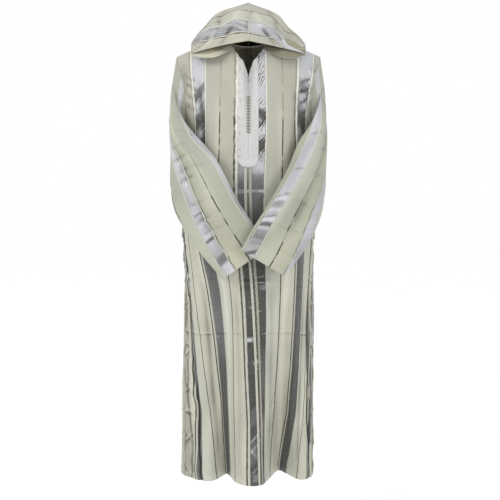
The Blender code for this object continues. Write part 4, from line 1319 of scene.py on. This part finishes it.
def wrapped_knot(centre, out, turn, size):
    """Path of a small ball knot: cord wound three ways about itself."""
    t = np.linspace(0, 2 * math.pi, 96, endpoint=False)
    wide = 1.0 + 0.35 * np.cos(5 * t)
    path = np.stack([np.sin(2 * t) * wide, np.cos(2 * t) * wide, 0.62 * np.sin(5 * t)], -1)
    right = unit(np.cross([0.0, 0.0, 1.0], out))
    up = np.cross(out, right)
    lean_right = right * math.cos(turn) + up * math.sin(turn)
    lean_up = up * math.cos(turn) - right * math.sin(turn)
    return centre + size * 0.62 * path @ np.stack([lean_right, out, lean_up])


def seat_at(z):
    """Point of the slit at a level, and which way its cloth faces."""
    return (grid[0] for grid in front_surface(np.array([0.0]), np.array([centre_v(z)]))[:2])


def make_knots():
    material = thread_work("knot_thread", PALETTE["knot"], 0.0016, 0.5, 0.25, 0.45)
    t = np.linspace(0, 1, 18)
    bow = 0.0019 * np.sin(math.pi * np.clip(t * 1.05, 0, 1))
    inner = KNOT_RADIUS * 0.6
    for k in range(BUTTON_COUNT):
        seat, out = seat_at(BUTTON_TOP_Z - k * BUTTON_STEP)
        centre = seat + out * (BRAID + 2 * GAP + KNOT_RADIUS * 0.9) + [0.0004 * math.sin(k * 1.7), 0, 0]
        path = wrapped_knot(centre, out, 0.5 * math.sin(k * 2.1), KNOT_RADIUS * 0.92)
        cords = [cord_mesh(path, KNOT_RADIUS * 0.33, 6, 0.0016, closed=True)]
        # each side's loop: two cords that run out from the knot and meet
        for way in (-1, 1):
            swing = 0.0006 * math.sin(k * 1.3 + way)
            for lane in (-0.5, 0.5):
                loop = seat + out * (BRAID + 2 * GAP + 0.0016 - 0.0009 * t)[:, None]
                loop[:, 0] += way * (inner + (BUTTON_HALF - inner) * t)
                loop[:, 2] += lane * bow + swing * t
                cords.append(cord_mesh(loop, LOOP_RADIUS * 0.62, 5, 0.0014))
        join_cords(f"knot_{k + 1:02d}", cords, material, node=f"button_{k + 1:02d}")
    cords = []
    for k, level in enumerate((-0.084, -0.099)):
        seat, out = seat_at(level)
        path = wrapped_knot(seat + out * (BRAID + 0.0022), out, 0.7 * k, 0.0021)
        cords.append(cord_mesh(path, 0.0008, closed=True))
    join_cords("slit_knots", cords, material)


# Loose threads on the cloth: distance from the centre, level, length, which way they lie in degrees, bow
LOOSE_THREADS = [
    (0.004, -0.698, 0.030, 8, 0.10), (0.006, -0.712, 0.034, -4, 0.12), (-0.004, -0.786, 0.016, 200, 0.40),
    (-0.004, -0.790, 0.014, 165, -0.30), (0.002, -0.806, 0.018, 20, 0.30), (-0.024, -0.690, 0.020, 215, 0.20),
    (-0.012, -0.965, 0.016, 40, 0.60), (-0.014, -0.970, 0.014, 110, -0.50), (0.196, -0.884, 0.030, 4, 0.10),
    (-0.190, -0.880, 0.024, -20, 0.20), (0.020, -0.874, 0.034, 10, 0.15), (-0.204, -1.282, 0.018, 160, 0.30),
]
FLUFF_COUNT = 44  # tufts down the centre seam, to both sides in turn
FLUFF_TOP_Z = -0.640
FLUFF_STEP = 0.0082


def thread_path(s, z, length, angle, bow):
    t = np.linspace(0, 1, 9)
    lie = math.radians(angle)
    arch = bow * t * (1 - t)
    across = length * (t * math.cos(lie) - arch * math.sin(lie))
    up = length * (t * math.sin(lie) + arch * math.cos(lie))
    points, normals, _ = front_surface(s + across, centre_v(z) - up)
    return points + normals * (BRAID + 0.0015 - 0.0006 * t[:, None])


def make_threads():
    material = thread_work("loose_thread", PALETTE["thread"], 0.0015, 0.7)
    rows = list(LOOSE_THREADS)
    for k in range(FLUFF_COUNT):
        angle = (0 if k % 2 else 180) + 35 * math.sin(k * 1.9)
        length = 0.007 + 0.005 * math.sin(k * 2.3)
        rows.append((0.001, FLUFF_TOP_Z - FLUFF_STEP * k, length, angle, 0.5 * math.sin(k)))
    join_cords("loose_threads", [cord_mesh(thread_path(*row), 0.0005) for row in rows], material)


make_trims()
make_knots()
make_threads()

# ---- camera, light and floor


def area_light(name, place, at, size, power, colour):
    """A square studio light at a place, pointed at another."""
    lamp = bpy.data.lights.new(name, "AREA")
    lamp.shape = "SQUARE"
    lamp.size = size
    lamp.energy = power
    lamp.color = colour
    light = bpy.data.objects.new(name, lamp)
    light.location = place
    light.rotation_euler = (Vector(place) - Vector(at)).to_track_quat("Z", "Y").to_euler()
    scene.collection.objects.link(light)


CAMERA_PITCH = 7.5  # degrees that the camera looks down
FLOOR_Z = -1.7
WHITE = (1.0, 1.0, 1.0)

lens = bpy.data.cameras.new("camera")
lens.sensor_width = 36.0
lens.lens = 65.2
camera = bpy.data.objects.new("camera", lens)
camera.location = (0.005, -2.9, -0.25)
camera.rotation_euler = (math.radians(90 - CAMERA_PITCH), 0.0, 0.0)
scene.collection.objects.link(camera)
scene.camera = camera

world = bpy.data.worlds.new("studio")
world.use_nodes = True
world.node_tree.nodes["Background"].inputs["Color"].default_value = (*WHITE, 1)
world.node_tree.nodes["Background"].inputs["Strength"].default_value = 1.0
scene.world = world
scene.view_settings.view_transform = "Standard"

area_light("key", (-2.4, -2.0, 1.5), (0.0, 0.0, -0.5), 1.0, 39.0, (1.0, 0.99, 0.97))
area_light("fill", (1.6, -2.8, -0.1), (0.0, 0.0, -0.6), 0.9, 18.0, (0.97, 0.98, 1.0))

ground = Nodes("ground")
speck = ground.range(ground.noise(3.0, 2.0), 0.3, 0.7)
ground.finish(Base_Color=ground.mix(speck, (0.98, 0.98, 0.98), WHITE), Roughness=0.9)
corners = [(-6, -6, FLOOR_Z), (6, -6, FLOOR_Z), (6, 9, FLOOR_Z), (-6, 9, FLOOR_Z)]
floor = mesh_object("ground", corners, [(0, 1, 2, 3)], {}, [ground.material], sharp=0)
